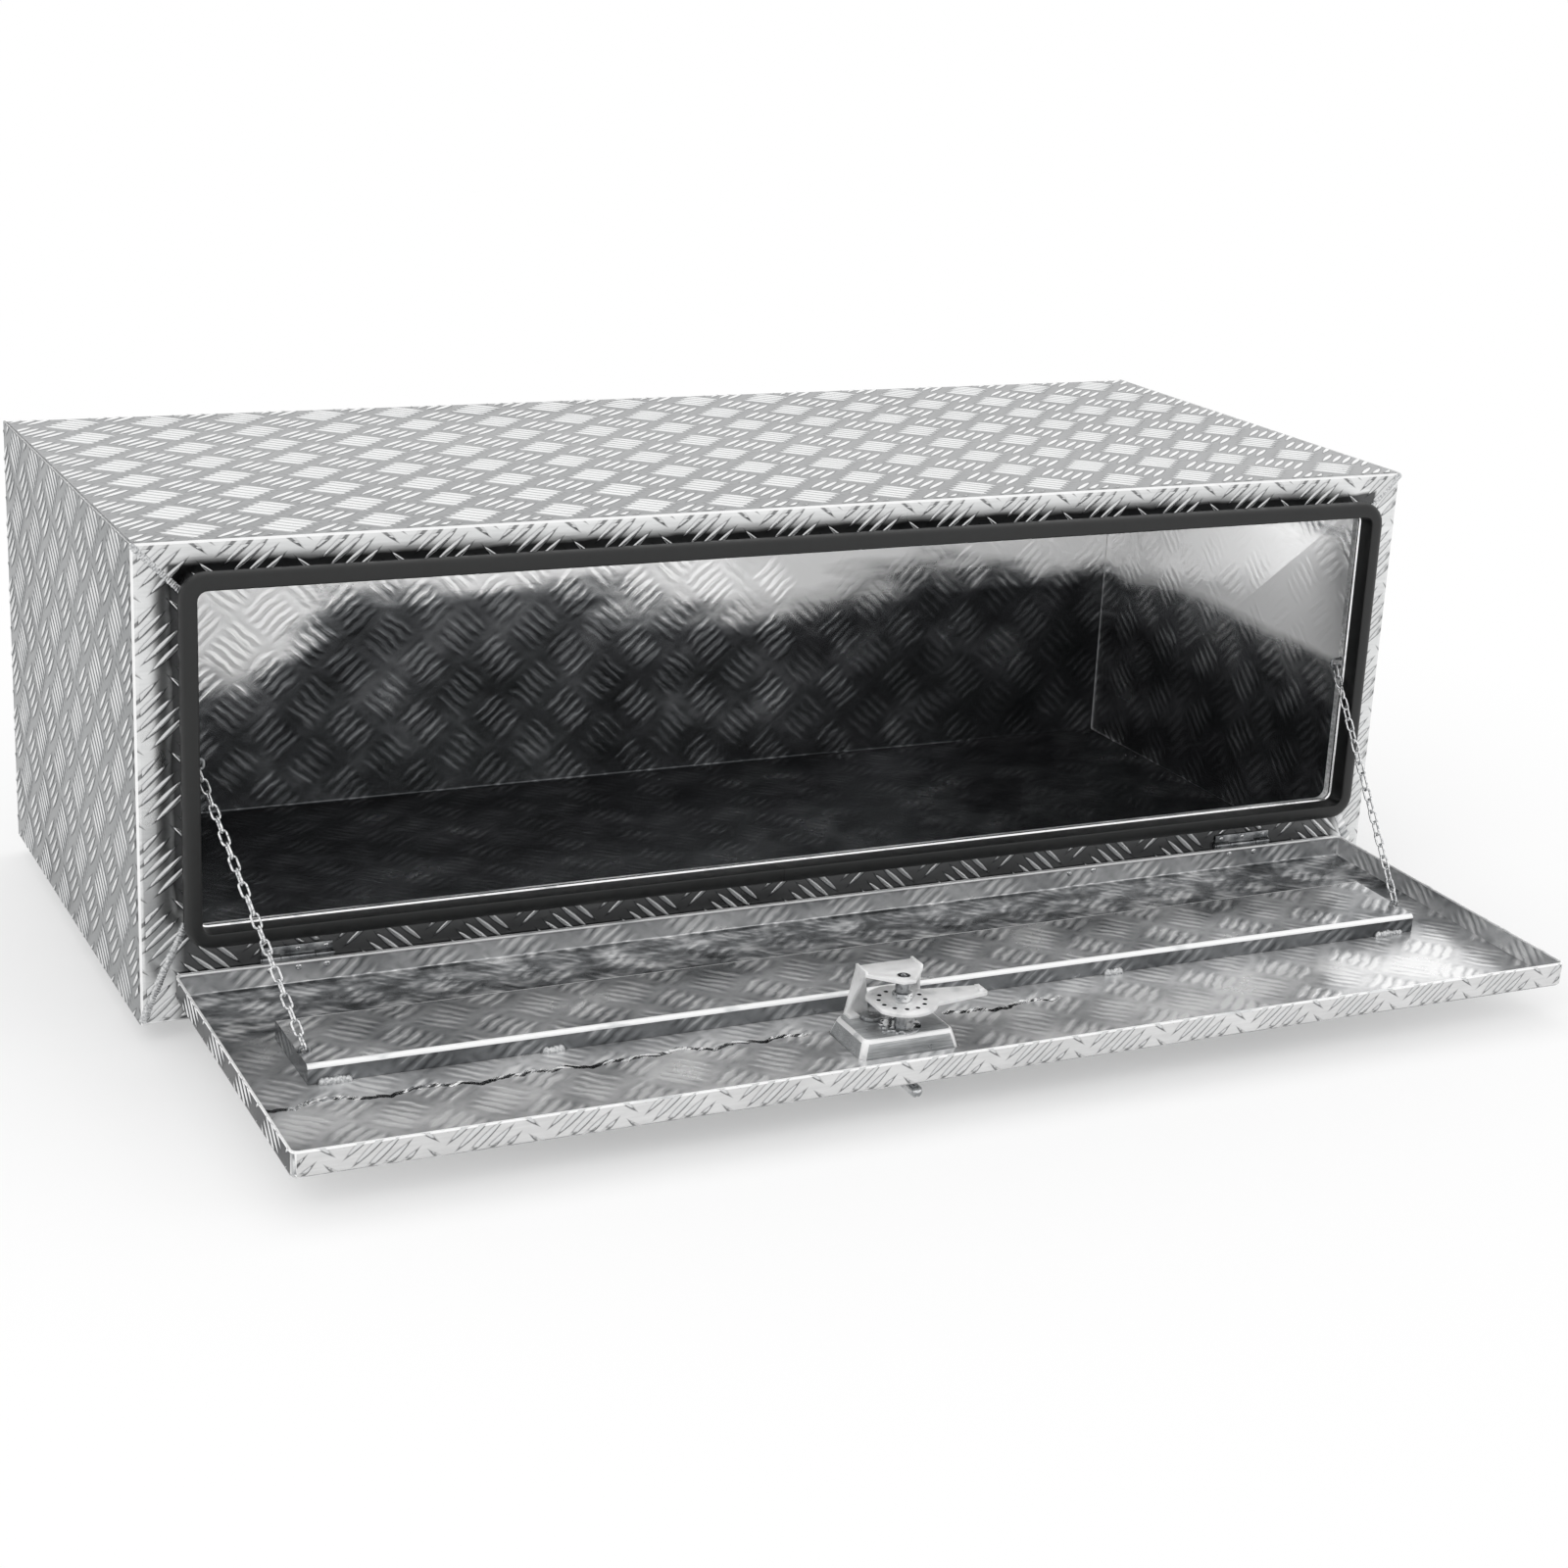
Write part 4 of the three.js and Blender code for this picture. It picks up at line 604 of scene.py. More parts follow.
def weld_metal():
    """Aluminium weld, left as laid: frosty pale grey with fine ripples and a few dark specks."""
    material, tree, shader = surface_of("aluminium_weld_as_laid", 1.0, 0.36, "#c9cacb")
    frost = grain(tree, 2.381, 4.0)
    specks = grain(tree, 1.111, 1.0)
    tone = add(tree, COLOUR_RAMP, frost, stops=[(0.32, "#9fa1a3"), (0.5, "#cbcccd"), (0.7, "#eeefef")])
    dark = add(tree, MAP_RANGE, specks, 0.68, 0.74, 0.0, 0.7)
    fill(shader, {"Base Color": add(tree, MIX, dark, tone, linear("#3c3d3e"), data_type="RGBA")})
    bumped(tree, shader, frost, 0.0003)
    return material


def brushed_steel():
    """Latch dish of stainless steel, pressed and brushed: even grey with short level brush lines, which scatter."""
    material, tree, shader = surface_of("stainless_steel_dish_brushed", 0.7, 0.34, "#bfc1c2")
    lines = grain(tree, 1.111, 3.0, (20.0, 1.0, 1.0))
    cloud = grain(tree, 35.71, 3.0)
    mixed = lines * 0.5 + cloud * 0.5
    colour = add(tree, COLOUR_RAMP, mixed, stops=[(0.38, "#a2a4a6"), (0.5, "#bec0c1"), (0.62, "#dadbdc")])
    fill(shader, {"Base Color": colour, "Roughness": add(tree, MAP_RANGE, cloud, *USUAL, 0.26, 0.42)})
    bumped(tree, shader, lines, 0.00005)
    return material


# Meshes

def placed(name, mesh, body):
    """A new piece in the frame, which rides on a body."""
    mesh.name = name
    piece = in_scene(name, mesh)
    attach(piece, body)
    return piece


def reshaped(mesh, change):
    """Runs a change on a mesh's vertices, edges and faces."""
    shape = bmesh.new()
    shape.from_mesh(mesh)
    change(shape)
    shape.to_mesh(mesh)
    shape.free()
    return mesh


def carried(mesh, matrix):
    """Moves a mesh, and keeps its faces pointing out when the matrix mirrors it."""
    mesh.transform(matrix)
    if matrix.determinant() < 0:
        reshaped(mesh, lambda shape: bmesh.ops.reverse_faces(shape, faces=shape.faces))
    return mesh


def smoothed(mesh, degrees=35):
    """Shades a mesh smooth but keeps its folds crisp."""
    mesh.shade_smooth()
    mesh.set_sharp_from_angle(angle=math.radians(degrees))
    return mesh


def rounded_path(half_x, half_y, radius, steps):
    """Points of a closed rounded rectangle in the XY plane, round its middle."""
    path = []
    for quarter, (way_x, way_y) in enumerate(((1, 1), (-1, 1), (-1, -1), (1, -1))):
        centre = Vector((way_x * (half_x - radius), way_y * (half_y - radius), 0))
        for k in range(steps + 1):
            angle = math.pi / 2 * (quarter + k / steps)
            point = centre + Vector((math.cos(angle), math.sin(angle), 0)) * radius
            if not path or (point - path[-1]).length > 1e-6:
                path.append(point)
    return path


def tube(path, wire, sides):
    """A closed tube of round wire along a closed path in the XY plane."""
    shape = bmesh.new()
    rings = []
    for i, point in enumerate(path):
        ahead = (path[(i + 1) % len(path)] - path[i - 1]).normalized()
        side = Vector((ahead.y, -ahead.x, 0))
        rings.append([shape.verts.new(point + (side * math.cos(a) + UP * math.sin(a)) * wire / 2)
                      for a in (2 * math.pi * k / sides for k in range(sides))])
    for i, ring in enumerate(rings):
        after = rings[(i + 1) % len(rings)]
        for k in range(sides):
            shape.faces.new((ring[k], after[k], after[(k + 1) % sides], ring[(k + 1) % sides]))
    bmesh.ops.recalc_face_normals(shape, faces=shape.faces)
    mesh = bpy.data.meshes.new("tube")
    shape.to_mesh(mesh)
    shape.free()
    return mesh


def link_mesh(chain, length):
    """One closed link in the XY plane, of round wire."""
    across = (chain.link_width - chain.wire) / 2
    return tube(rounded_path((length - chain.wire) / 2, across, across, 4), chain.wire, 10)


def drawn(points, edges=()):
    """A mesh of bare points in the XY plane, given in millimetres, and of edges between them."""
    mesh = bpy.data.meshes.new("path")
    mesh.from_pydata([(x * MM, y * MM, 0.0) for x, y in points], edges, [])
    return mesh


def in_scene(name, data):
    """A new object in the scene."""
    thing = bpy.data.objects.new(name, data)
    bpy.context.scene.collection.objects.link(thing)
    return thing


def evaluated(holder):
    """The plain mesh of an object with its modifiers, after which the object is removed."""
    depsgraph = bpy.context.evaluated_depsgraph_get()
    mesh = bpy.data.meshes.new_from_object(holder.evaluated_get(depsgraph), depsgraph=depsgraph)
    bpy.data.objects.remove(holder)
    return mesh


def grown(source, tree, values):
    """Runs a geometry tree on a mesh and returns the plain mesh that it makes."""
    holder = in_scene("holder", source)
    modifier = holder.modifiers.new("tree", "NODES")
    modifier.node_group = tree
    sockets = {item.name: item.identifier for item in tree.interface.items_tree if item.in_out == "INPUT"}
    for name, value in values.items():
        modifier[sockets[name]] = value
    mesh = evaluated(holder)
    if not mesh.polygons:
        raise RuntimeError(f"{tree.name} made no faces")
    return mesh


def merged_copy(node, materials):
    """A copy of a CAD node's mesh with its loose triangles merged."""
    mesh = frame["nodes"][node].data.copy()
    if "custom_normal" in mesh.attributes:
        mesh.attributes.remove(mesh.attributes["custom_normal"])
    mesh.materials.clear()
    for material in materials:
        mesh.materials.append(material)
    reshaped(mesh, lambda shape: bmesh.ops.remove_doubles(shape, verts=shape.verts, dist=1e-6))
    for polygon in mesh.polygons:
        polygon.material_index = 0
    return mesh


def dressed(node, name, materials, bevel=0.0, degrees=35):
    """A finer copy of a CAD node with eased edges, which stands for the node and rides on its body."""
    mesh = merged_copy(node, materials)
    if bevel:
        holder = in_scene("holder", mesh)
        modifier = holder.modifiers.new("eased", "BEVEL")
        modifier.width = bevel
        modifier.segments = 2
        modifier.limit_method = "ANGLE"
        modifier.angle_limit = math.radians(40)
        modifier.use_clamp_overlap = True
        mesh = evaluated(holder)
    smoothed(mesh, degrees)
    piece = placed(name, mesh, frame["nodes"][node]["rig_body"])
    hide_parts(node)
    return piece


def lay_plate(mesh, into_plate, middle, is_inner):
    """Stores each corner's place on its plate in millimetres, and gives inner faces the second material."""
    mesh.uv_layers.new(name="plate")
    mesh.attributes.new("looks", "FLOAT_VECTOR", "CORNER")
    layer, looks = mesh.uv_layers["plate"], mesh.attributes["looks"]
    turn = into_plate.to_3x3()
    spots = [into_plate @ vertex.co for vertex in mesh.vertices]
    for polygon in mesh.polygons:
        normal = turn @ polygon.normal
        size = [abs(value) for value in normal]
        first, second = ((1, 2), (0, 2), (0, 1))[size.index(max(size))]
        for corner in polygon.loop_indices:
            spot = spots[mesh.loops[corner].vertex_index] - middle
            layer.data[corner].uv = (spot[first] / MM, spot[second] / MM)
            looks.data[corner].vector = normal
        if is_inner(into_plate @ polygon.center, normal):
            polygon.material_index = 1


# Geometry trees

def new_tree(name, inputs):
    """A geometry tree with named inputs, given as (name, socket type)."""
    tree = bpy.data.node_groups.new(name, "GeometryNodeTree")
    tree.interface.new_socket("Geometry", in_out="OUTPUT", socket_type="NodeSocketGeometry")
    for label, kind in [("Geometry", "NodeSocketGeometry"), *inputs, ("Material", "NodeSocketMaterial")]:
        tree.interface.new_socket(label, in_out="INPUT", socket_type=kind)
    return tree, add(tree, "NodeGroupInput")


def end_tree(tree, instances, material):
    """Makes the instances real, gives them their material and ends the tree."""
    real = add(tree, "GeometryNodeRealizeInstances", {"Geometry": instances})
    done = add(tree, "GeometryNodeSetMaterial", {"Geometry": real, "Material": material})
    add(tree, "NodeGroupOutput", done)
    return tree


def tread_bar_tree():
    """Groups of five bars in two leaning sets, each set on a grid half a pitch from the other."""
    numbers = ("Bar Length", "Bar Width", "Bar Height", "Bar Spacing", "Bar Angle", "Long Pitch", "Short Pitch")
    tree, given = new_tree("tread_bars", [
        ("Columns", "NodeSocketInt"), ("Rows", "NodeSocketInt"), *[(name, "NodeSocketFloat") for name in numbers]])
    size = add(tree, COMBINE, given["Bar Length"] * 0.5, given["Bar Width"] * 0.5, given["Bar Height"])
    bar = add(tree, TRANSFORM, {"Geometry": given["Geometry"], "Scale": size})
    first = add(tree, COMBINE, {1: given["Bar Spacing"] * -2.0})
    step = add(tree, COMBINE, {1: given["Bar Spacing"]})
    line = add(tree, "GeometryNodeMeshLine", {"Count": 5, "Start Location": first, "Offset": step}, mode="OFFSET")
    group = add(tree, INSTANCES, {"Points": line, "Instance": bar})
    sets = []
    for extra, way in ((0, 1.0), (1, -1.0)):
        columns, rows = given["Columns"] + extra, given["Rows"] + extra
        grid = add(tree, "GeometryNodeMeshGrid", {
            "Size X": (columns - 1.0) * given["Long Pitch"], "Size Y": (rows - 1.0) * given["Short Pitch"],
            "Vertices X": columns, "Vertices Y": rows})
        turn = add(tree, "FunctionNodeEulerToRotation", add(tree, COMBINE, {2: given["Bar Angle"] * way}))
        sets.append(add(tree, INSTANCES, {"Points": grid, "Instance": group, "Rotation": turn}))
    return end_tree(tree, add(tree, JOIN, sets), given["Material"])


def row_tree(name, kind):
    """Like pieces in a row along a path that lies flat, each one turned along the path."""
    tree, given = new_tree(name, [
        ("Pitch", "NodeSocketFloat"), ("Size", "NodeSocketVector"), ("Least", "NodeSocketFloat"),
        ("Seed", "NodeSocketInt")])
    path = add(tree, "GeometryNodeMeshToCurve", given["Geometry"])
    spots = add(tree, "GeometryNodeResampleCurve", {"Curve": path, "Length": given["Pitch"]}, mode="LENGTH")
    if kind == "bead":
        piece = add(tree, "GeometryNodeMeshUVSphere", {"Segments": 14, "Rings": 8, "Radius": 0.5})
    else:
        piece = add(tree, "GeometryNodeMeshCube")
    shaped = add(tree, TRANSFORM, {"Geometry": piece, "Scale": given["Size"]})
    ahead = add(tree, "GeometryNodeInputTangent")
    turn = add(tree, "FunctionNodeAlignRotationToVector", {"Vector": ahead}, axis="X", pivot_axis="Z")
    size = add(tree, "FunctionNodeRandomValue", {"Min": given["Least"], "Max": 1.0, "Seed": given["Seed"]},
               data_type="FLOAT")
    pieces = add(tree, INSTANCES, {"Points": spots, "Instance": shaped, "Rotation": turn, "Scale": size})
    return end_tree(tree, pieces, given["Material"])


def rivet_tree():
    """A domed rivet head with its broken mandrel on each point."""
    tree, given = new_tree("rivets", [("Radius", "NodeSocketFloat"), ("Height", "NodeSocketFloat")])
    size = add(tree, COMBINE, given["Radius"], given["Radius"], given["Height"])
    dome = add(tree, "GeometryNodeMeshUVSphere", {"Segments": 20, "Rings": 12, "Radius": 1.0})
    head = add(tree, TRANSFORM, {"Geometry": dome, "Scale": size})
    stub = add(tree, "GeometryNodeMeshCylinder", {
        "Vertices": 12, "Radius": given["Radius"] * 0.34, "Depth": given["Height"] * 2.3})
    whole = add(tree, JOIN, [head, stub])
    heads = add(tree, INSTANCES, {"Points": given["Geometry"], "Instance": whole})
    return end_tree(tree, heads, given["Material"])


def chain_tree():
    """Links in a row along X, each turned a quarter from the last."""
    tree, given = new_tree("chain_row", [
        ("Count", "NodeSocketInt"), ("First", "NodeSocketFloat"), ("Pitch", "NodeSocketFloat")])
    start = add(tree, COMBINE, given["First"])
    step = add(tree, COMBINE, given["Pitch"])
    line = add(tree, "GeometryNodeMeshLine", {"Count": given["Count"], "Start Location": start, "Offset": step},
               mode="OFFSET")
    quarter = add(tree, "GeometryNodeInputIndex") % 2.0 * (math.pi / 2)
    turn = add(tree, "FunctionNodeEulerToRotation", add(tree, COMBINE, quarter))
    links = add(tree, INSTANCES, {"Points": line, "Instance": given["Geometry"], "Rotation": turn})
    return end_tree(tree, links, given["Material"])


# Tread bars

def unit_bar():
    """One bar, from -1 to 1 along X and Y and 0 to 1 in height: lens-shaped, rounded on top and closed."""
    sunk = -0.15
    stations = (-0.72, -0.38, 0.0, 0.38, 0.72)
    section = ((-1.0, sunk), (-0.86, 0.42), (-0.42, 0.92), (0.42, 0.92), (0.86, 0.42), (1.0, sunk))
    verts = [(-1.0, 0.0, sunk)]
    for x in stations:
        taper = 1 - x * x
        verts += [(x, y * taper, z * min(1.0, taper + 0.25) if z > 0 else z) for y, z in section]
    verts.append((1.0, 0.0, sunk))
    count, last = len(section), len(verts) - 1
    faces = []
    for s in range(len(stations) - 1):
        base = 1 + s * count
        for k in range(count):
            after = (k + 1) % count
            faces.append((base + k, base + count + k, base + count + after, base + after))
    end = 1 + (len(stations) - 1) * count
    for k in range(count):
        after = (k + 1) % count
        faces.append((0, 1 + k, 1 + after))
        faces.append((last, end + after, end + k))
    mesh = bpy.data.meshes.new("unit_bar")
    mesh.from_pydata(verts, [], faces)
    return reshaped(mesh, lambda shape: bmesh.ops.recalc_face_normals(shape, faces=shape.faces))


def around_holes(outline, holes):
    """Convex regions, as lists of (point, outward normal), that fill an outline but for square holes."""
    points = [Vector(point) for point in outline]
    base = []
    for i, point in enumerate(points):
        along = points[(i + 1) % len(points)] - point
        base.append((point, Vector((along.y, -along.x)).normalized()))
    regions = [base]
    for x0, x1, y0, y1 in holes:
        parted = []
        for region in regions:
            left = (Vector((x0, 0)), Vector((1, 0)))
            right = (Vector((x1, 0)), Vector((-1, 0)))
            inside = [(Vector((x0, 0)), Vector((-1, 0))), (Vector((x1, 0)), Vector((1, 0)))]
            low = (Vector((0, y0)), Vector((0, 1)))
            high = (Vector((0, y1)), Vector((0, -1)))
            parted += [[*region, left], [*region, right], [*region, *inside, low], [*region, *inside, high]]
        regions = parted
    return regions


def trimmed_bars(mesh, per_bar, regions):
    """Keeps the parts of the bars that lie in the regions, and closes each cut."""
    faces = [tuple(polygon.vertices) for polygon in mesh.polygons]
    coords = np.array([vertex.co for vertex in mesh.vertices]).reshape(-1, per_bar, 3)
    if np.ptp(coords, axis=1)[:, :2].max() > 0.06:
        raise RuntimeError("the bars' points aren't in order")
    per_faces = len(faces) // len(coords)
    bar_faces = [faces[i * per_faces:(i + 1) * per_faces] for i in range(len(coords))]
    whole = bmesh.new()
    for region in regions:
        over = np.full(coords.shape[:2], -1e9)
        for point, outward in region:
            over = np.maximum(over, (coords[..., :2] - np.array(point)) @ np.array(outward))
        inside = np.where(over.max(axis=1) <= 0)[0]
        crossing = np.where((over.max(axis=1) > 0) & (over.min(axis=1) < 0))[0]
        for chosen, cuts in ((inside, []), (crossing, region)):
            if not len(chosen):
                continue
            part = bpy.data.meshes.new("part")
            kept = [v for i in chosen for v in range(i * per_bar, (i + 1) * per_bar)]
            order = {v: place for place, v in enumerate(kept)}
            part.from_pydata(coords[chosen].reshape(-1, 3).tolist(), [],
                             [tuple(order[v] for v in face) for i in chosen for face in bar_faces[i]])
            shape = bmesh.new()
            shape.from_mesh(part)
            for point, outward in cuts:
                everything = shape.verts[:] + shape.edges[:] + shape.faces[:]
                bmesh.ops.bisect_plane(shape, geom=everything, dist=1e-7, plane_co=(*point, 0.0),
                                       plane_no=(*outward, 0.0), clear_outer=True)
                open_edges = [edge for edge in shape.edges if edge.is_boundary]
                bmesh.ops.holes_fill(shape, edges=open_edges, sides=0)
            shape.to_mesh(part)
            shape.free()
            whole.from_mesh(part)
            bpy.data.meshes.remove(part)
    result = bpy.data.meshes.new("bars")
    whole.to_mesh(result)
    whole.free()
    return result


def plate_bars(name, body, into_world, outlines, holes, tools):
    """The bars on one flat face: outlines and holes are in its plane, in metres from its middle."""
    plate, tree, material = tools
    reach_x = max(abs(x) for outline in outlines for x, _ in outline)
    reach_y = max(abs(y) for outline in outlines for _, y in outline)
    columns = 2 * math.ceil(reach_x / plate.long_pitch + 0.5)
    rows = 2 * math.ceil(reach_y / plate.short_pitch) + 1
    bar = unit_bar()
    mesh = grown(bar, tree, {
        "Columns": columns, "Rows": rows, "Bar Length": plate.bar_length, "Bar Width": plate.bar_width,
        "Bar Height": plate.bar_height, "Bar Spacing": plate.bar_spacing, "Bar Angle": plate.bar_angle,
        "Long Pitch": plate.long_pitch, "Short Pitch": plate.short_pitch, "Material": material})
    regions = [region for outline in outlines for region in around_holes(outline, holes)]
    result = trimmed_bars(mesh, len(bar.vertices), regions)
    result.materials.append(material)
    ridge = result.attributes.new("ridge", "FLOAT", "POINT")
    ridge.data.foreach_set("value", [min(1.0, max(0.0, v.co.z / plate.bar_height)) for v in result.vertices])
    carried(result, into_world)
    result.shade_smooth()
    return placed(name, result, body)


def facing(origin, along, across, outward):
    """The matrix from a face's plane to the frame."""
    matrix = Matrix.Identity(4)
    for column, axis in enumerate((along, across, outward)):
        matrix.col[column][:3] = axis
    matrix.translation = origin
    return matrix


def rectangle(x0, x1, y0, y1):
    """A rectangle's corners, counter-clockwise."""
    return [(x0, y0), (x1, y0), (x1, y1), (x0, y1)]


# Operators

class TOOLBOX_OT_dress_body(bpy.types.Operator):
    """Gives the box its rolled tread plate outside and its bright reverse inside"""

    bl_idname = "toolbox.dress_body"
    bl_label = "Dress the box body"

    def execute(self, context):
        plate = context.scene.toolbox_plate
        outer = rolled_tread_plate(plate, "aluminium_tread_plate_rolled", BOX_PAINTED_LIGHT_TONES, True)
        inner = bright_reverse(plate, "aluminium_plate_reverse_bright", 0.8, inner_light, 0.42, 0.3)
        middle = Vector((0, 0, HEIGHT / 2))

        def is_inner(centre, normal):
            return (centre - middle).dot(normal) < 0

        for node in ("body_wrap", "end_panel_left", "end_panel_right"):
            piece = dressed(node, f"{node}_plate", [outer, inner], bevel=0.7 * MM, degrees=50)
            lay_plate(piece.data, Matrix.Identity(4), middle, is_inner)
        metals = {word: painted_light_bars(f"aluminium_bars_painted_light_{word}", *tones) for word,
                  tones in BAR_PAINTED_LIGHT_TONES.items()}
        tree = tread_bar_tree()
        top, sides = (plate, tree, metals["top"]), (plate, tree, metals["side"])
        flat_x, flat_y, flat_z = HALF_WIDTH - 3 * MM, HALF_DEPTH - BEND, HEIGHT / 2 - BEND
        whole = rectangle(-flat_x, flat_x, -flat_y, flat_y)
        plate_bars("tread_bars_top", "box", facing((0, 0, HEIGHT), RIGHTWARD, BACKWARD, UP), [whole], [], top)
        plate_bars("tread_bars_bottom", "box", facing((0, 0, 0), RIGHTWARD, BACKWARD, -UP), [whole], [], sides)
        plate_bars("tread_bars_back", "box", facing((0, HALF_DEPTH, HEIGHT / 2), RIGHTWARD, UP, BACKWARD),
                   [rectangle(-flat_x, flat_x, -flat_z, flat_z)], [], sides)
        side = rectangle(-flat_y, HALF_DEPTH - MM, 1 * MM - HEIGHT / 2, HEIGHT / 2 - 1 * MM)
        for way, word in ((-1, "left"), (1, "right")):
            plate_bars(f"tread_bars_side_{word}", "box",
                       facing((way * HALF_WIDTH, 0, HEIGHT / 2), BACKWARD, UP, RIGHTWARD * way), [side], [], sides)
        self.front_bars((plate, tree, metals["front"]))
        return {"FINISHED"}

    def front_bars(self, tools):
        """Bars on the four mitred strips round the door opening, clear of the hinges."""
        low, high, edge = BEND - HEIGHT / 2, HEIGHT / 2 - BEND, HALF_WIDTH - BEND
        hole_low, hole_high = HOLE_LOW - HEIGHT / 2, HOLE_HIGH - HEIGHT / 2

        def mitre(x, ends):
            share = (HALF_WIDTH - x) / (HALF_WIDTH - MITRE_INNER)
            return ends[0] + (ends[1] - ends[0]) * share - HEIGHT / 2

        def mitre_x(z, ends):
            share = (z + HEIGHT / 2 - ends[0]) / (ends[1] - ends[0])
            return HALF_WIDTH - (HALF_WIDTH - MITRE_INNER) * share

        gap = 1 * MM
        top, bottom = (
            [(-x0, z0), (x0, z0), (x1, z1), (-x1, z1)]
            for z0, z1, ends in ((hole_high, high, MITRE_HIGH), (low, hole_low, MITRE_LOW))
            for x0, x1 in [(mitre_x(z0, ends) - gap, mitre_x(z1, ends) - gap)])
        right = [(HOLE_HALF_WIDTH, mitre(HOLE_HALF_WIDTH, MITRE_LOW) + gap), (edge, mitre(edge, MITRE_LOW) + gap),
                 (edge, mitre(edge, MITRE_HIGH) - gap), (HOLE_HALF_WIDTH, mitre(HOLE_HALF_WIDTH, MITRE_HIGH) - gap)]
        left = [(-x, z) for x, z in reversed(right)]
        holes = [(x0 - gap, x1 + gap, LEAF_LOW - HEIGHT / 2, LEAF_HIGH - HEIGHT / 2) for x0, x1 in LEAVES]
        front = facing((0, -HALF_DEPTH, HEIGHT / 2), RIGHTWARD, UP, -BACKWARD)
        plate_bars("tread_bars_front_sides", "box", front, [left, right], [], tools)
        plate_bars("tread_bars_front_top", "box", front, [top], [], tools)
        plate_bars("tread_bars_front_bottom", "box", front, [bottom], holes, tools)


class TOOLBOX_OT_dress_door(bpy.types.Operator):
    """Gives the door its tread bars outside and its bright reverse inside"""

    bl_idname = "toolbox.dress_door"
    bl_label = "Dress the door"

    def execute(self, context):
        plate = context.scene.toolbox_plate
        outer = rolled_tread_plate(plate, "aluminium_door_plate_rolled", DOOR_PAINTED_LIGHT_TONES, False)
        inner = bright_reverse(plate, "aluminium_door_reverse_bright", 0.5, door_light, 0.3)
        middle = Vector((0, DOOR_MIDDLE, (DOOR_SKIN + DOOR_RIM) / 2))
        half_x, half_y = DOOR_HALF_WIDTH - DOOR_SHEET / 2, (DOOR_BACK - DOOR_FRONT) / 2 - DOOR_SHEET / 2

        def is_inner(centre, normal):
            gap = centre - middle
            return abs(gap.x) < half_x and abs(gap.y) < half_y and centre.z > DOOR_SKIN + DOOR_SHEET / 2

        # The rim's finish is a painted highlight, on the flanges' upper edge and on the hem
        rim = finish("aluminium_rim_painted_highlight")
        piece = dressed("door_pan", "door_pan_plate", [outer, inner, rim], degrees=50)
        lay_plate(piece.data, DOOR.inverted(), middle, is_inner)
        self.bright_rim(piece.data)
        hem_y = (HEM_BACK - DOOR_FRONT - HEM_IN) / 2
        path = rounded_path(DOOR_HALF_WIDTH - HEM_IN, hem_y, HEM_RADIUS, 4)
        hem = carried(tube(path, HEM_WIRE, 8), DOOR @ Matrix.Translation((0, HEM_BACK - hem_y, DOOR_RIM - HEM_DOWN)))
        hem.materials.append(rim)
        hem.shade_smooth()
        placed("door_pan_hem", hem, "door")
        tree = bpy.data.node_groups["tread_bars"]
        tools, dark = ((plate, tree, bpy.data.materials[f"aluminium_bars_painted_light_{word}"])
                       for word in ("front", "flange"))
        turn = DOOR.to_3x3()
        along, across, up = turn @ RIGHTWARD, turn @ BACKWARD, turn @ UP

        def face(spot, first, second, outward):
            return facing(DOOR @ Vector(spot), first, second, outward)

        bx, by = BEZEL_CENTRE
        hole = (bx - BEZEL_HALF[0], bx + BEZEL_HALF[0],
                by - DOOR_MIDDLE - BEZEL_HALF[1], by - DOOR_MIDDLE + BEZEL_HALF[1])
        flat_x, flat_y = DOOR_HALF_WIDTH - BAR_MARGIN, (DOOR_BACK - DOOR_FRONT) / 2 - BAR_MARGIN
        plate_bars("door_bars_skin", "door", face((0, DOOR_MIDDLE, DOOR_SKIN), along, across, -up),
                   [rectangle(-flat_x, flat_x, -flat_y, flat_y)], [hole], tools)
        z0, z1 = DOOR_SKIN + FLANGE_FOOT - middle.z, DOOR_RIM - RIM_BAND - middle.z
        plate_bars("door_bars_front", "door", face((0, DOOR_FRONT, middle.z), along, up, -across),
                   [rectangle(-flat_x, flat_x, z0, z1)], [], tools)
        leaves = [(x0 - MM, x1 + MM, LEAF_FOOT - middle.z, -middle.z) for x0, x1 in LEAVES]
        plate_bars("door_bars_back", "door", face((0, DOOR_BACK, middle.z), along, up, across),
                   [rectangle(-flat_x, flat_x, z0, z1)], leaves, tools)
        for way, word in ((-1, "left"), (1, "right")):
            plate_bars(f"door_bars_side_{word}", "door",
                       face((way * DOOR_HALF_WIDTH, DOOR_MIDDLE, middle.z), across, up, along * way),
                       [rectangle(-flat_y, flat_y, z0, z1)], [], dark)
        folded = bright_reverse(plate, "aluminium_channel_folded_bright", 0.5, channel_light, 0.34)
        channel = dressed("door_stiffener", "door_stiffener_channel",
                          [folded, finish("aluminium_fold_painted_highlight")])
        lay_plate(channel.data, DOOR.inverted(), middle, lambda centre, normal: False)
        self.bright_folds(channel.data)
        return {"FINISHED"}

    def bright_rim(self, mesh):
        """Gives the upper edge of the door's flanges a painted highlight."""
        into_door = DOOR.inverted()
        for polygon in mesh.polygons:
            if (into_door @ polygon.center).z > DOOR_RIM - RIM_BAND:
                polygon.material_index = 2

    def bright_folds(self, mesh):
        """Gives the rounded folds of the channel a painted highlight."""
        turn = DOOR.inverted().to_3x3()
        for polygon in mesh.polygons:
            sizes = [abs(value) for value in turn @ polygon.normal]
            if max(sizes) < 0.995 and sizes[0] < 0.5:
                polygon.material_index = 1


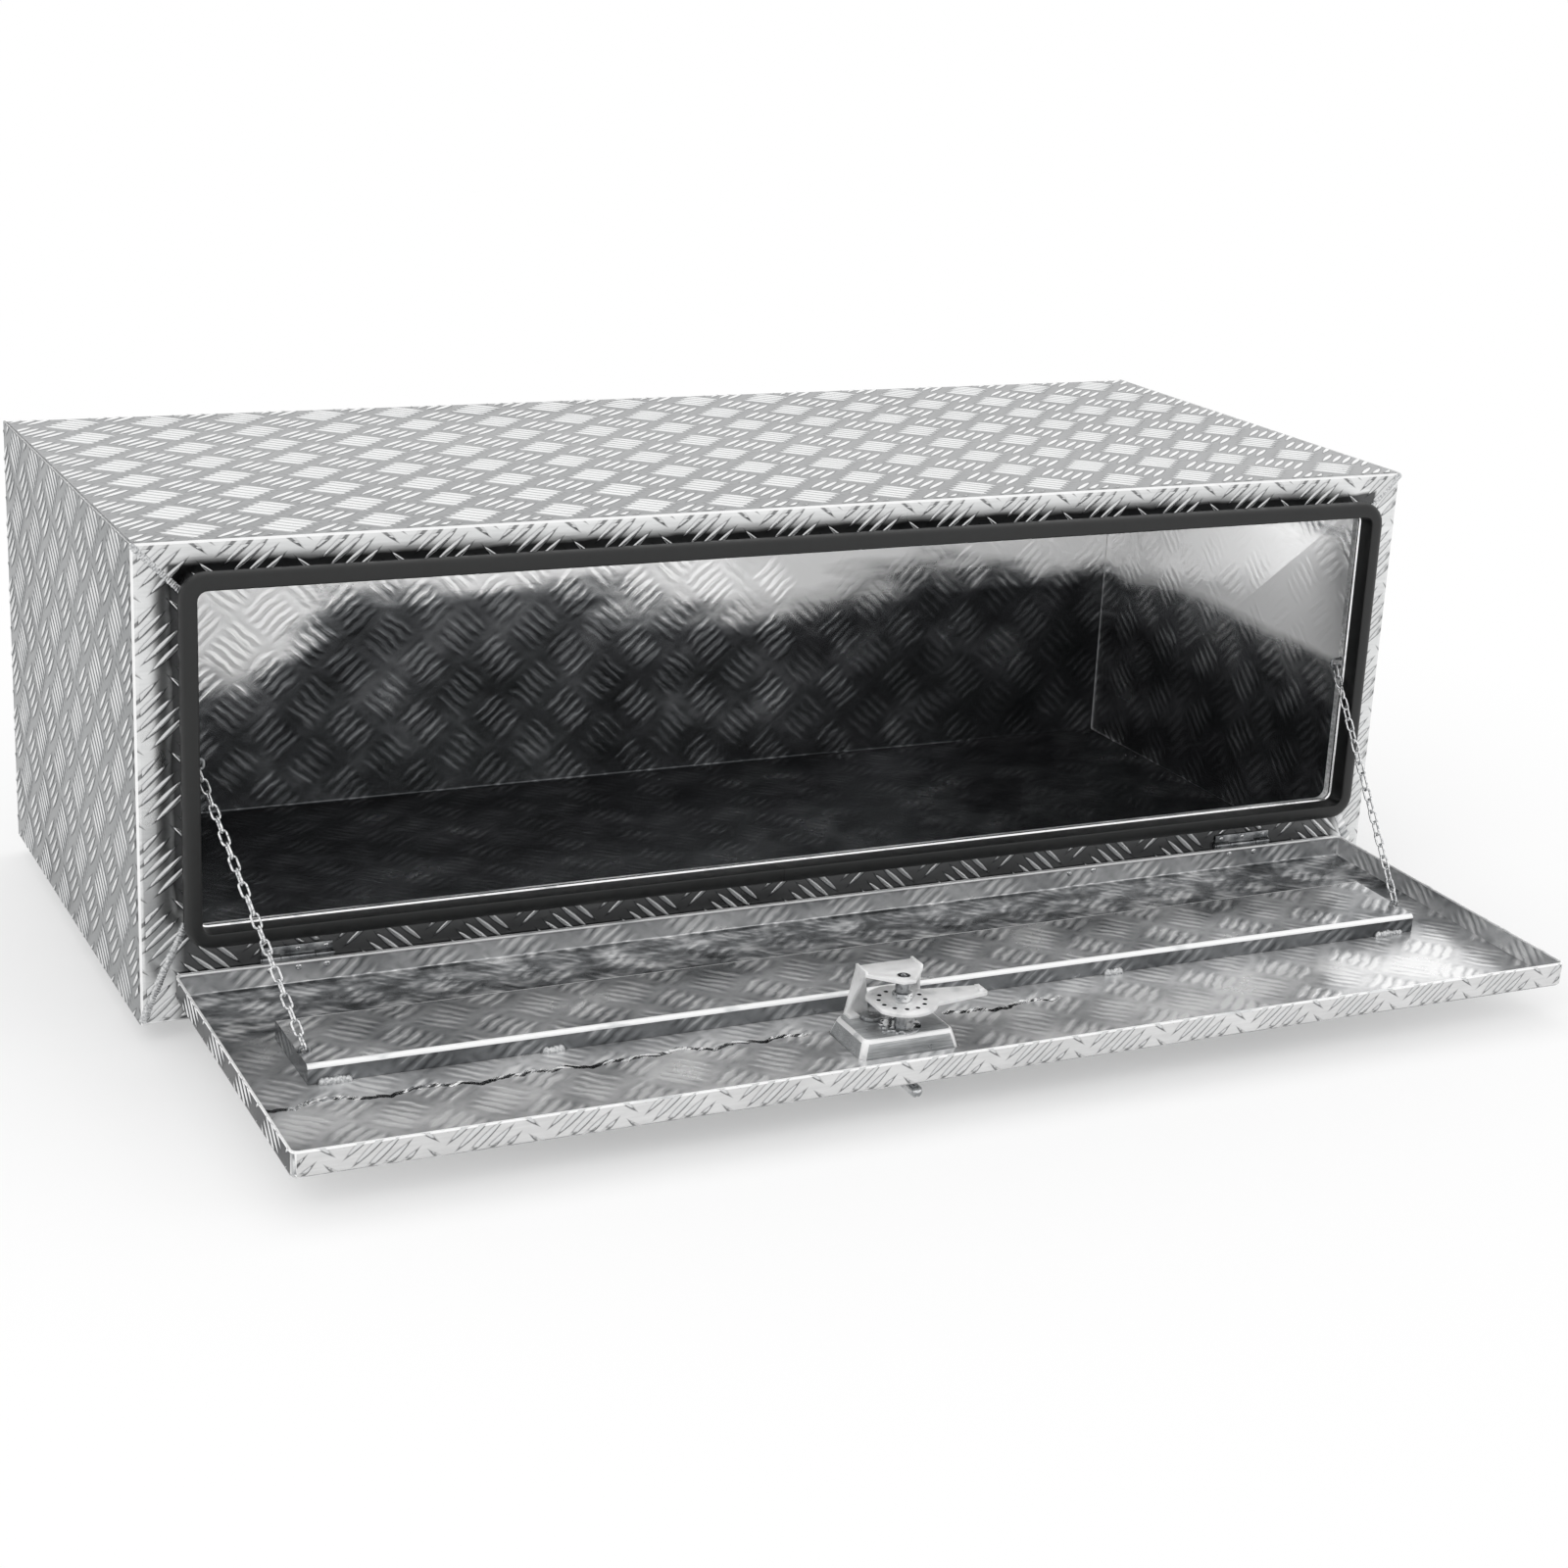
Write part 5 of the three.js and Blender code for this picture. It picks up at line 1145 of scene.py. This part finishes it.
class TOOLBOX_OT_lay_welds(bpy.types.Operator):
    """Lays the weld beads on the four mitres and at the foot of the door's channel"""

    bl_idname = "toolbox.lay_welds"
    bl_label = "Lay the welds"

    def execute(self, context):
        weld = context.scene.toolbox_weld
        tree = row_tree("weld_beads", "bead")
        laid, ground = weld_metal(), finish("aluminium_weld_ground")
        front = facing((0, -HALF_DEPTH, 0), RIGHTWARD, UP, -BACKWARD)
        corners = {
            "lower_left": ([(-607.5, 5), (-590, 46), (-580, 66), (-571, 85)], 1.0, 1.0, laid),
            "lower_right": ([(607.5, 6), (590, 44), (570, 84)], 1.35, 0.45, ground),
            "upper_left": ([(-607.5, 404), (-588, 384), (-569, 365)], 0.8, 0.9, laid),
            "upper_right": ([(607.5, 404), (588, 384), (569, 365)], 0.8, 0.8, laid),
        }
        for seed, (word, (path, wide, high, material)) in enumerate(corners.items()):
            source = drawn(path, [(i, i + 1) for i in range(len(path) - 1)])
            size = (weld.ripple_pitch * 2.2, weld.bead_width * wide, weld.bead_height * high * 2)
            mesh = grown(source, tree, {
                "Pitch": weld.ripple_pitch, "Size": size, "Least": 0.84, "Seed": seed, "Material": material})
            carried(mesh, front)
            mesh.shade_smooth()
            placed(f"weld_{word}", mesh, "box")
        foot = DOOR @ Matrix.Translation((0, 0, DOOR_SKIN + DOOR_SHEET))
        for seed, (start, end) in enumerate(CHANNEL_WELDS):
            mesh = grown(drawn([(start, CHANNEL_FOOT), (end, CHANNEL_FOOT)], [(0, 1)]), tree, {
                "Pitch": weld.ripple_pitch * 1.5, "Size": (9 * MM, 9 * MM, 12 * MM),
                "Least": 0.72, "Seed": 10 + seed, "Material": laid})
            for vertex in mesh.vertices:
                vertex.co.z = max(vertex.co.z, -BEAD_ROOT)
            carried(mesh, foot)
            mesh.shade_smooth()
            placed(f"weld_channel_{seed}", mesh, "door")
        return {"FINISHED"}


class TOOLBOX_OT_fit_seal(bpy.types.Operator):
    """Dresses the opening's lip and the seal with its ribbed clip"""

    bl_idname = "toolbox.fit_seal"
    bl_label = "Fit the lip and seal"

    def execute(self, context):
        colours = context.scene.toolbox_colours
        dressed("opening_lip", "opening_lip_buffed", [polished_edge()], bevel=0.3 * MM)
        dressed("door_seal", "door_seal_rubber", [extruded_rubber(colours)])
        middle = (LIP_LOW + LIP_HIGH) / 2
        path = rounded_path(LIP_HALF_WIDTH - BEAD_IN, (LIP_HIGH - LIP_LOW) / 2 - BEAD_IN, LIP_RADIUS - BEAD_IN, 6)
        bead = carried(tube(path, BEAD_WIRE, 12), facing((0, BEAD_PLACE, middle), RIGHTWARD, UP, -BACKWARD))
        bead.materials.append(finish("aluminium_bead_rolled_bright"))
        bead.shade_smooth()
        placed("opening_lip_bead", bead, "box")
        x, low, high, corner = CLIP
        paths = [((-x + corner, low), (x - corner, low)), ((x, low + corner), (x, high - corner)),
                 ((x - corner, high), (-x + corner, high)), ((-x, high - corner), (-x, low + corner))]
        source = drawn([point for path in paths for point in path], [(i, i + 1) for i in range(0, 8, 2)])
        mesh = grown(source, row_tree("clip_ribs", "rib"), {
            "Pitch": 2.6 * MM, "Size": (1.3 * MM, 0.9 * MM, 4.6 * MM), "Least": 1.0, "Seed": 0,
            "Material": finish("rubber_clip_ribbed")})
        carried(mesh, facing((0, -HALF_DEPTH - CLIP_OUT, 0), RIGHTWARD, UP, -BACKWARD))
        placed("door_seal_clip_ribs", mesh, "box")
        return {"FINISHED"}


class TOOLBOX_OT_fit_hinges(bpy.types.Operator):
    """Dresses the hinges and sets the rivets"""

    bl_idname = "toolbox.fit_hinges"
    bl_label = "Fit the hinges"

    def execute(self, context):
        steel = finish("steel_stamped_zinc_plated")
        for side in ("left", "right"):
            for node in ("hinge_frame_leaf", "hinge_door_leaf", "hinge_pin"):
                dressed(f"{node}_{side}", f"{node}_{side}_plated", [steel], bevel=0.15 * MM)
        tree, metal = rivet_tree(), finish("aluminium_rivet_tumbled")
        mesh = grown(drawn([(x, DOOR_RIVET_ROW) for x in DOOR_RIVETS]), tree,
                     {"Radius": 2.9 * MM, "Height": 1.3 * MM, "Material": metal})
        turn = DOOR.to_3x3()
        carried(mesh, facing(DOOR @ Vector((0, DOOR_BACK - DOOR_SHEET, 0)), turn @ RIGHTWARD, turn @ UP,
                             turn @ -BACKWARD))
        placed("hinge_rivets_door", smoothed(mesh, 50), "door")
        mesh = grown(drawn([(x, BOX_RIVET_ROW) for x in BOX_RIVETS]), tree,
                     {"Radius": 2.2 * MM, "Height": 0.9 * MM, "Material": metal})
        carried(mesh, facing((0, LEAF_FACE, 0), RIGHTWARD, UP, -BACKWARD))
        placed("hinge_rivets_box", smoothed(mesh, 50), "box")
        return {"FINISHED"}


class TOOLBOX_OT_hang_chains(bpy.types.Operator):
    """Hangs the two stay chains link by link between their eyes"""

    bl_idname = "toolbox.hang_chains"
    bl_label = "Hang the stay chains"

    def execute(self, context):
        chain = context.scene.toolbox_chain
        metal, steel = finish("steel_chain_nickel_plated"), bpy.data.materials["steel_stamped_zinc_plated"]
        tree = chain_tree()
        ahead = (DOOR_EYE - LIP_EYE).normalized()
        middle_distance = (DOOR_EYE - LIP_EYE).length / 2

        def aimed(start, way):
            across = way.cross(RIGHTWARD).normalized()
            return facing(start, way, across, way.cross(across))

        rows = (
            ("upper", aimed(LIP_EYE, ahead), chain.link_length, chain.count, FIRST_LINK),
            ("lower", aimed(DOOR_EYE, -ahead), chain.link_length, chain.count, FIRST_LINK),
            ("joining", aimed(LIP_EYE, ahead), chain.joining_length, 1, middle_distance),
        )
        mirror = Matrix.Diagonal((-1, 1, 1, 1))
        for side in ("left", "right"):
            for word, place, length, count, first in rows:
                mesh = grown(link_mesh(chain, length), tree, {
                    "Count": count, "First": first, "Pitch": chain.pitch, "Material": metal})
                carried(mesh, place if side == "left" else mirror @ place)
                mesh.shade_smooth()
                body = f"{side}_chain_{'lower' if word == 'lower' else 'upper'}"
                piece = placed(f"chain_links_{word}_{side}", mesh, body)
                if word != "joining":
                    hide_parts(f"chain_{word}_{side}")
            for node in ("chain_eye_lip", "chain_eye_door"):
                dressed(f"{node}_{side}", f"{node}_{side}_wire", [steel], degrees=62)
        return {"FINISHED"}


class TOOLBOX_OT_fit_latch(bpy.types.Operator):
    """Dresses the latch, its lock and its handle"""

    bl_idname = "toolbox.fit_latch"
    bl_label = "Fit the latch"

    def execute(self, context):
        colours = context.scene.toolbox_colours
        zinc = finish("steel_latch_bright_zinc", colours.zinc)
        chrome = finish("steel_polished_chrome_plated", colours.chrome)
        dish, rubber, cast = brushed_steel(), finish("rubber_gasket_moulded"), finish("zinc_lock_die_cast")
        steel = bpy.data.materials["steel_stamped_zinc_plated"]
        finishes = (
            ("latch_dish", dish, 0.5, "dish_steel"), ("latch_gasket", rubber, 0.2, "seal_rubber"),
            ("latch_bracket", zinc, 0.35, "zinc_plate"), ("cam_plate", zinc, 0.35, "zinc_plate"),
            ("spindle", steel, 0.25, "hinge_steel"), ("cam_bush", steel, 0.2, "hinge_steel"),
            ("bracket_screw", chrome, 0.2, "latch_chrome"), ("handle_pin", steel, 0.2, "hinge_steel"),
            ("index_disc", chrome, 0.25, "latch_chrome"), ("cam_nut", chrome, 0.6, "latch_chrome"),
            ("lock_barrel", cast, 0.5, "hinge_steel"), ("lock_plug", chrome, 0.15, "latch_chrome"),
            ("pull_handle", chrome, 0.3, "latch_chrome"),
        )
        for node, material, bevel, slot in finishes:
            piece = dressed(node, f"{node}_finished", [material], bevel=bevel * MM, degrees=42)
            if node == "cam_plate":
                self.darken_holes(piece.data)
            if node == "latch_dish":
                self.brighten_rounds(piece.data)
        return {"FINISHED"}

    def brighten_rounds(self, mesh):
        """Gives the rounded edges of the dish a painted highlight."""
        mesh.materials.append(finish("stainless_steel_round_painted_highlight"))
        turn = LATCH.inverted().to_3x3()
        for polygon in mesh.polygons:
            if 0.35 < (turn @ polygon.normal).z < 0.92:
                polygon.material_index = 1

    def darken_holes(self, mesh):
        """Gives the walls of the cam's ring of holes painted shade, a dark finish of their own."""
        mesh.materials.append(finish("steel_hole_painted_shade"))
        into_latch = LATCH.inverted()
        turn = into_latch.to_3x3()
        for polygon in mesh.polygons:
            spot = into_latch @ polygon.center
            if abs((turn @ polygon.normal).z) < 0.5 and CAM_HOLES[0] < spot.xy.length < CAM_HOLES[1]:
                polygon.material_index = 1


class TOOLBOX_OT_set_stage(bpy.types.Operator):
    """Sets the floor, the soft lights and the camera"""

    bl_idname = "toolbox.set_stage"
    bl_label = "Set the stage"

    def execute(self, context):
        self.floor()
        self.sky(context.scene)
        self.lamps()
        self.camera(context.scene)
        context.scene.view_settings.view_transform = "Standard"
        return {"FINISHED"}

    def floor(self):
        """A pale floor that fades to plain white away from the box."""
        mesh = bpy.data.meshes.new("floor")
        corners = rectangle(-FLOOR_HALF, FLOOR_HALF, -FLOOR_HALF, FLOOR_HALF)
        mesh.from_pydata([(x, y, FLOOR_LEVEL) for x, y in corners], [], [(0, 1, 2, 3)])
        in_scene("floor", mesh)
        material = bpy.data.materials.new("floor_pale")
        material.use_nodes = True
        tree = material.node_tree
        tree.nodes.clear()
        matt = add(tree, "ShaderNodeBsdfDiffuse", {"Color": linear("#f1f1f1")})
        glow = add(tree, "ShaderNodeEmission", {"Color": linear("#ffffff")})
        away = add(tree, VECTOR_MATH, add(tree, COORDINATES)["Object"] - FLOOR_MIDDLE, operation="LENGTH")
        share = add(tree, MAP_RANGE, away, 0.5, 1.4, 0.35, 1.0) * self.seen(tree)
        mixed = add(tree, "ShaderNodeMixShader", share, matt, glow)
        below = add(tree, "ShaderNodeNewGeometry")["Backfacing"]
        clear = add(tree, "ShaderNodeBsdfTransparent")
        mixed = add(tree, "ShaderNodeMixShader", below, mixed, clear)
        add(tree, "ShaderNodeOutputMaterial", mixed)
        mesh.materials.append(material)

    def seen(self, tree):
        """One for rays that see the backdrop straight, in metal or through glass."""
        path = add(tree, "ShaderNodeLightPath")
        straight = add(tree, MATH, path["Is Camera Ray"], path["Is Glossy Ray"], operation="MAXIMUM")
        return add(tree, MATH, straight, path["Is Transmission Ray"], operation="MAXIMUM")

    def sky(self, scene):
        """White where it is seen, and a plain level of light elsewhere."""
        world = bpy.data.worlds.new("studio")
        scene.world = world
        world.use_nodes = True
        tree = world.node_tree
        tree.nodes.clear()
        strength = add(tree, MAP_RANGE, self.seen(tree), 0.0, 1.0, 0.86, 1.0)
        back = add(tree, "ShaderNodeBackground", {"Color": linear("#ffffff"), "Strength": strength})
        add(tree, "ShaderNodeOutputWorld", back)

    def lamps(self):
        """Soft lamps: key from the left front, fill from the right, one from above, a strip in the box.

        The metal doesn't mirror them, or the top would burn out from behind.
        """
        for name, spot, aim, size, power in (
                ("lamp_key", (-2.6, -2.4, 2.6), (0, -0.1, 0.15), (2.2, 2.2), 34.0),
                ("lamp_fill", (2.8, -2.2, 1.6), (0, -0.1, 0.15), (1.8, 1.8), 16.0),
                ("lamp_top", (0.3, 1.2, 3.2), (0, -0.1, 0.15), (2.4, 2.4), 22.0),
                ("lamp_strip", (0.0, -0.16, 0.37), (0.0, 0.25, 0.27), (1.1, 0.03), 2.2)):
            data = bpy.data.lights.new(name, "AREA")
            data.shape = "RECTANGLE"
            data.size, data.size_y = size
            data.energy = power
            lamp = in_scene(name, data)
            lamp.location = spot
            lamp.rotation_euler = (Vector(aim) - Vector(spot)).to_track_quat("-Z", "Y").to_euler()
            lamp.visible_glossy = lamp.visible_camera = False

    def camera(self, scene):
        """The photograph's view: place, direction and roll from a fit of the box's corners."""
        azimuth, elevation, roll = (math.radians(value) for value in CAMERA_ANGLES)
        ahead = Vector((-math.sin(azimuth) * math.cos(elevation), math.cos(azimuth) * math.cos(elevation),
                        -math.sin(elevation)))
        right = ahead.cross(UP).normalized()
        up = right.cross(ahead)
        turned_right = right * math.cos(roll) + up * math.sin(roll)
        turned_up = up * math.cos(roll) - right * math.sin(roll)
        data = bpy.data.cameras.new("camera")
        data.lens = CAMERA_LENS
        data.sensor_width = 36.0
        camera = in_scene("camera", data)
        camera.matrix_world = facing(CAMERA_PLACE, turned_right, turned_up, -ahead)
        scene.camera = camera


class TOOLBOX_PT_panel(bpy.types.Panel):
    """Lists the tool box's sizes, colours and steps in the 3D view's sidebar"""

    bl_idname = "TOOLBOX_PT_panel"
    bl_label = "Tool Box"
    bl_space_type = "VIEW_3D"
    bl_region_type = "UI"
    bl_category = "Tool Box"

    def draw(self, context):
        for group in (context.scene.toolbox_plate, context.scene.toolbox_weld, context.scene.toolbox_chain,
                      context.scene.toolbox_colours):
            for name in group.bl_rna.properties.keys():
                if name not in ("rna_type", "name"):
                    self.layout.prop(group, name)
        for operator in OPERATORS:
            self.layout.operator(operator.bl_idname)


OPERATORS = (TOOLBOX_OT_dress_body, TOOLBOX_OT_dress_door, TOOLBOX_OT_lay_welds, TOOLBOX_OT_fit_seal,
             TOOLBOX_OT_fit_hinges, TOOLBOX_OT_hang_chains, TOOLBOX_OT_fit_latch, TOOLBOX_OT_set_stage)
GROUPS = {"toolbox_plate": ToolBoxPlateSettings, "toolbox_weld": ToolBoxWeldSettings,
          "toolbox_chain": ToolBoxChainSettings, "toolbox_colours": ToolBoxColourSettings}


def register():
    for group in GROUPS.values():
        bpy.utils.register_class(group)
    for operator in OPERATORS:
        bpy.utils.register_class(operator)
    bpy.utils.register_class(TOOLBOX_PT_panel)
    for name, group in GROUPS.items():
        setattr(bpy.types.Scene, name, bpy.props.PointerProperty(type=group))


def unregister():
    for name in GROUPS:
        delattr(bpy.types.Scene, name)
    bpy.utils.unregister_class(TOOLBOX_PT_panel)
    for operator in reversed(OPERATORS):
        bpy.utils.unregister_class(operator)
    for group in reversed(list(GROUPS.values())):
        bpy.utils.unregister_class(group)


def main():
    """Dresses the whole box, step by step."""
    register()
    bpy.ops.toolbox.dress_body()
    bpy.ops.toolbox.dress_door()
    bpy.ops.toolbox.lay_welds()
    bpy.ops.toolbox.fit_seal()
    bpy.ops.toolbox.fit_hinges()
    bpy.ops.toolbox.hang_chains()
    bpy.ops.toolbox.fit_latch()
    bpy.ops.toolbox.set_stage()


if __name__ == "__main__":
    main()
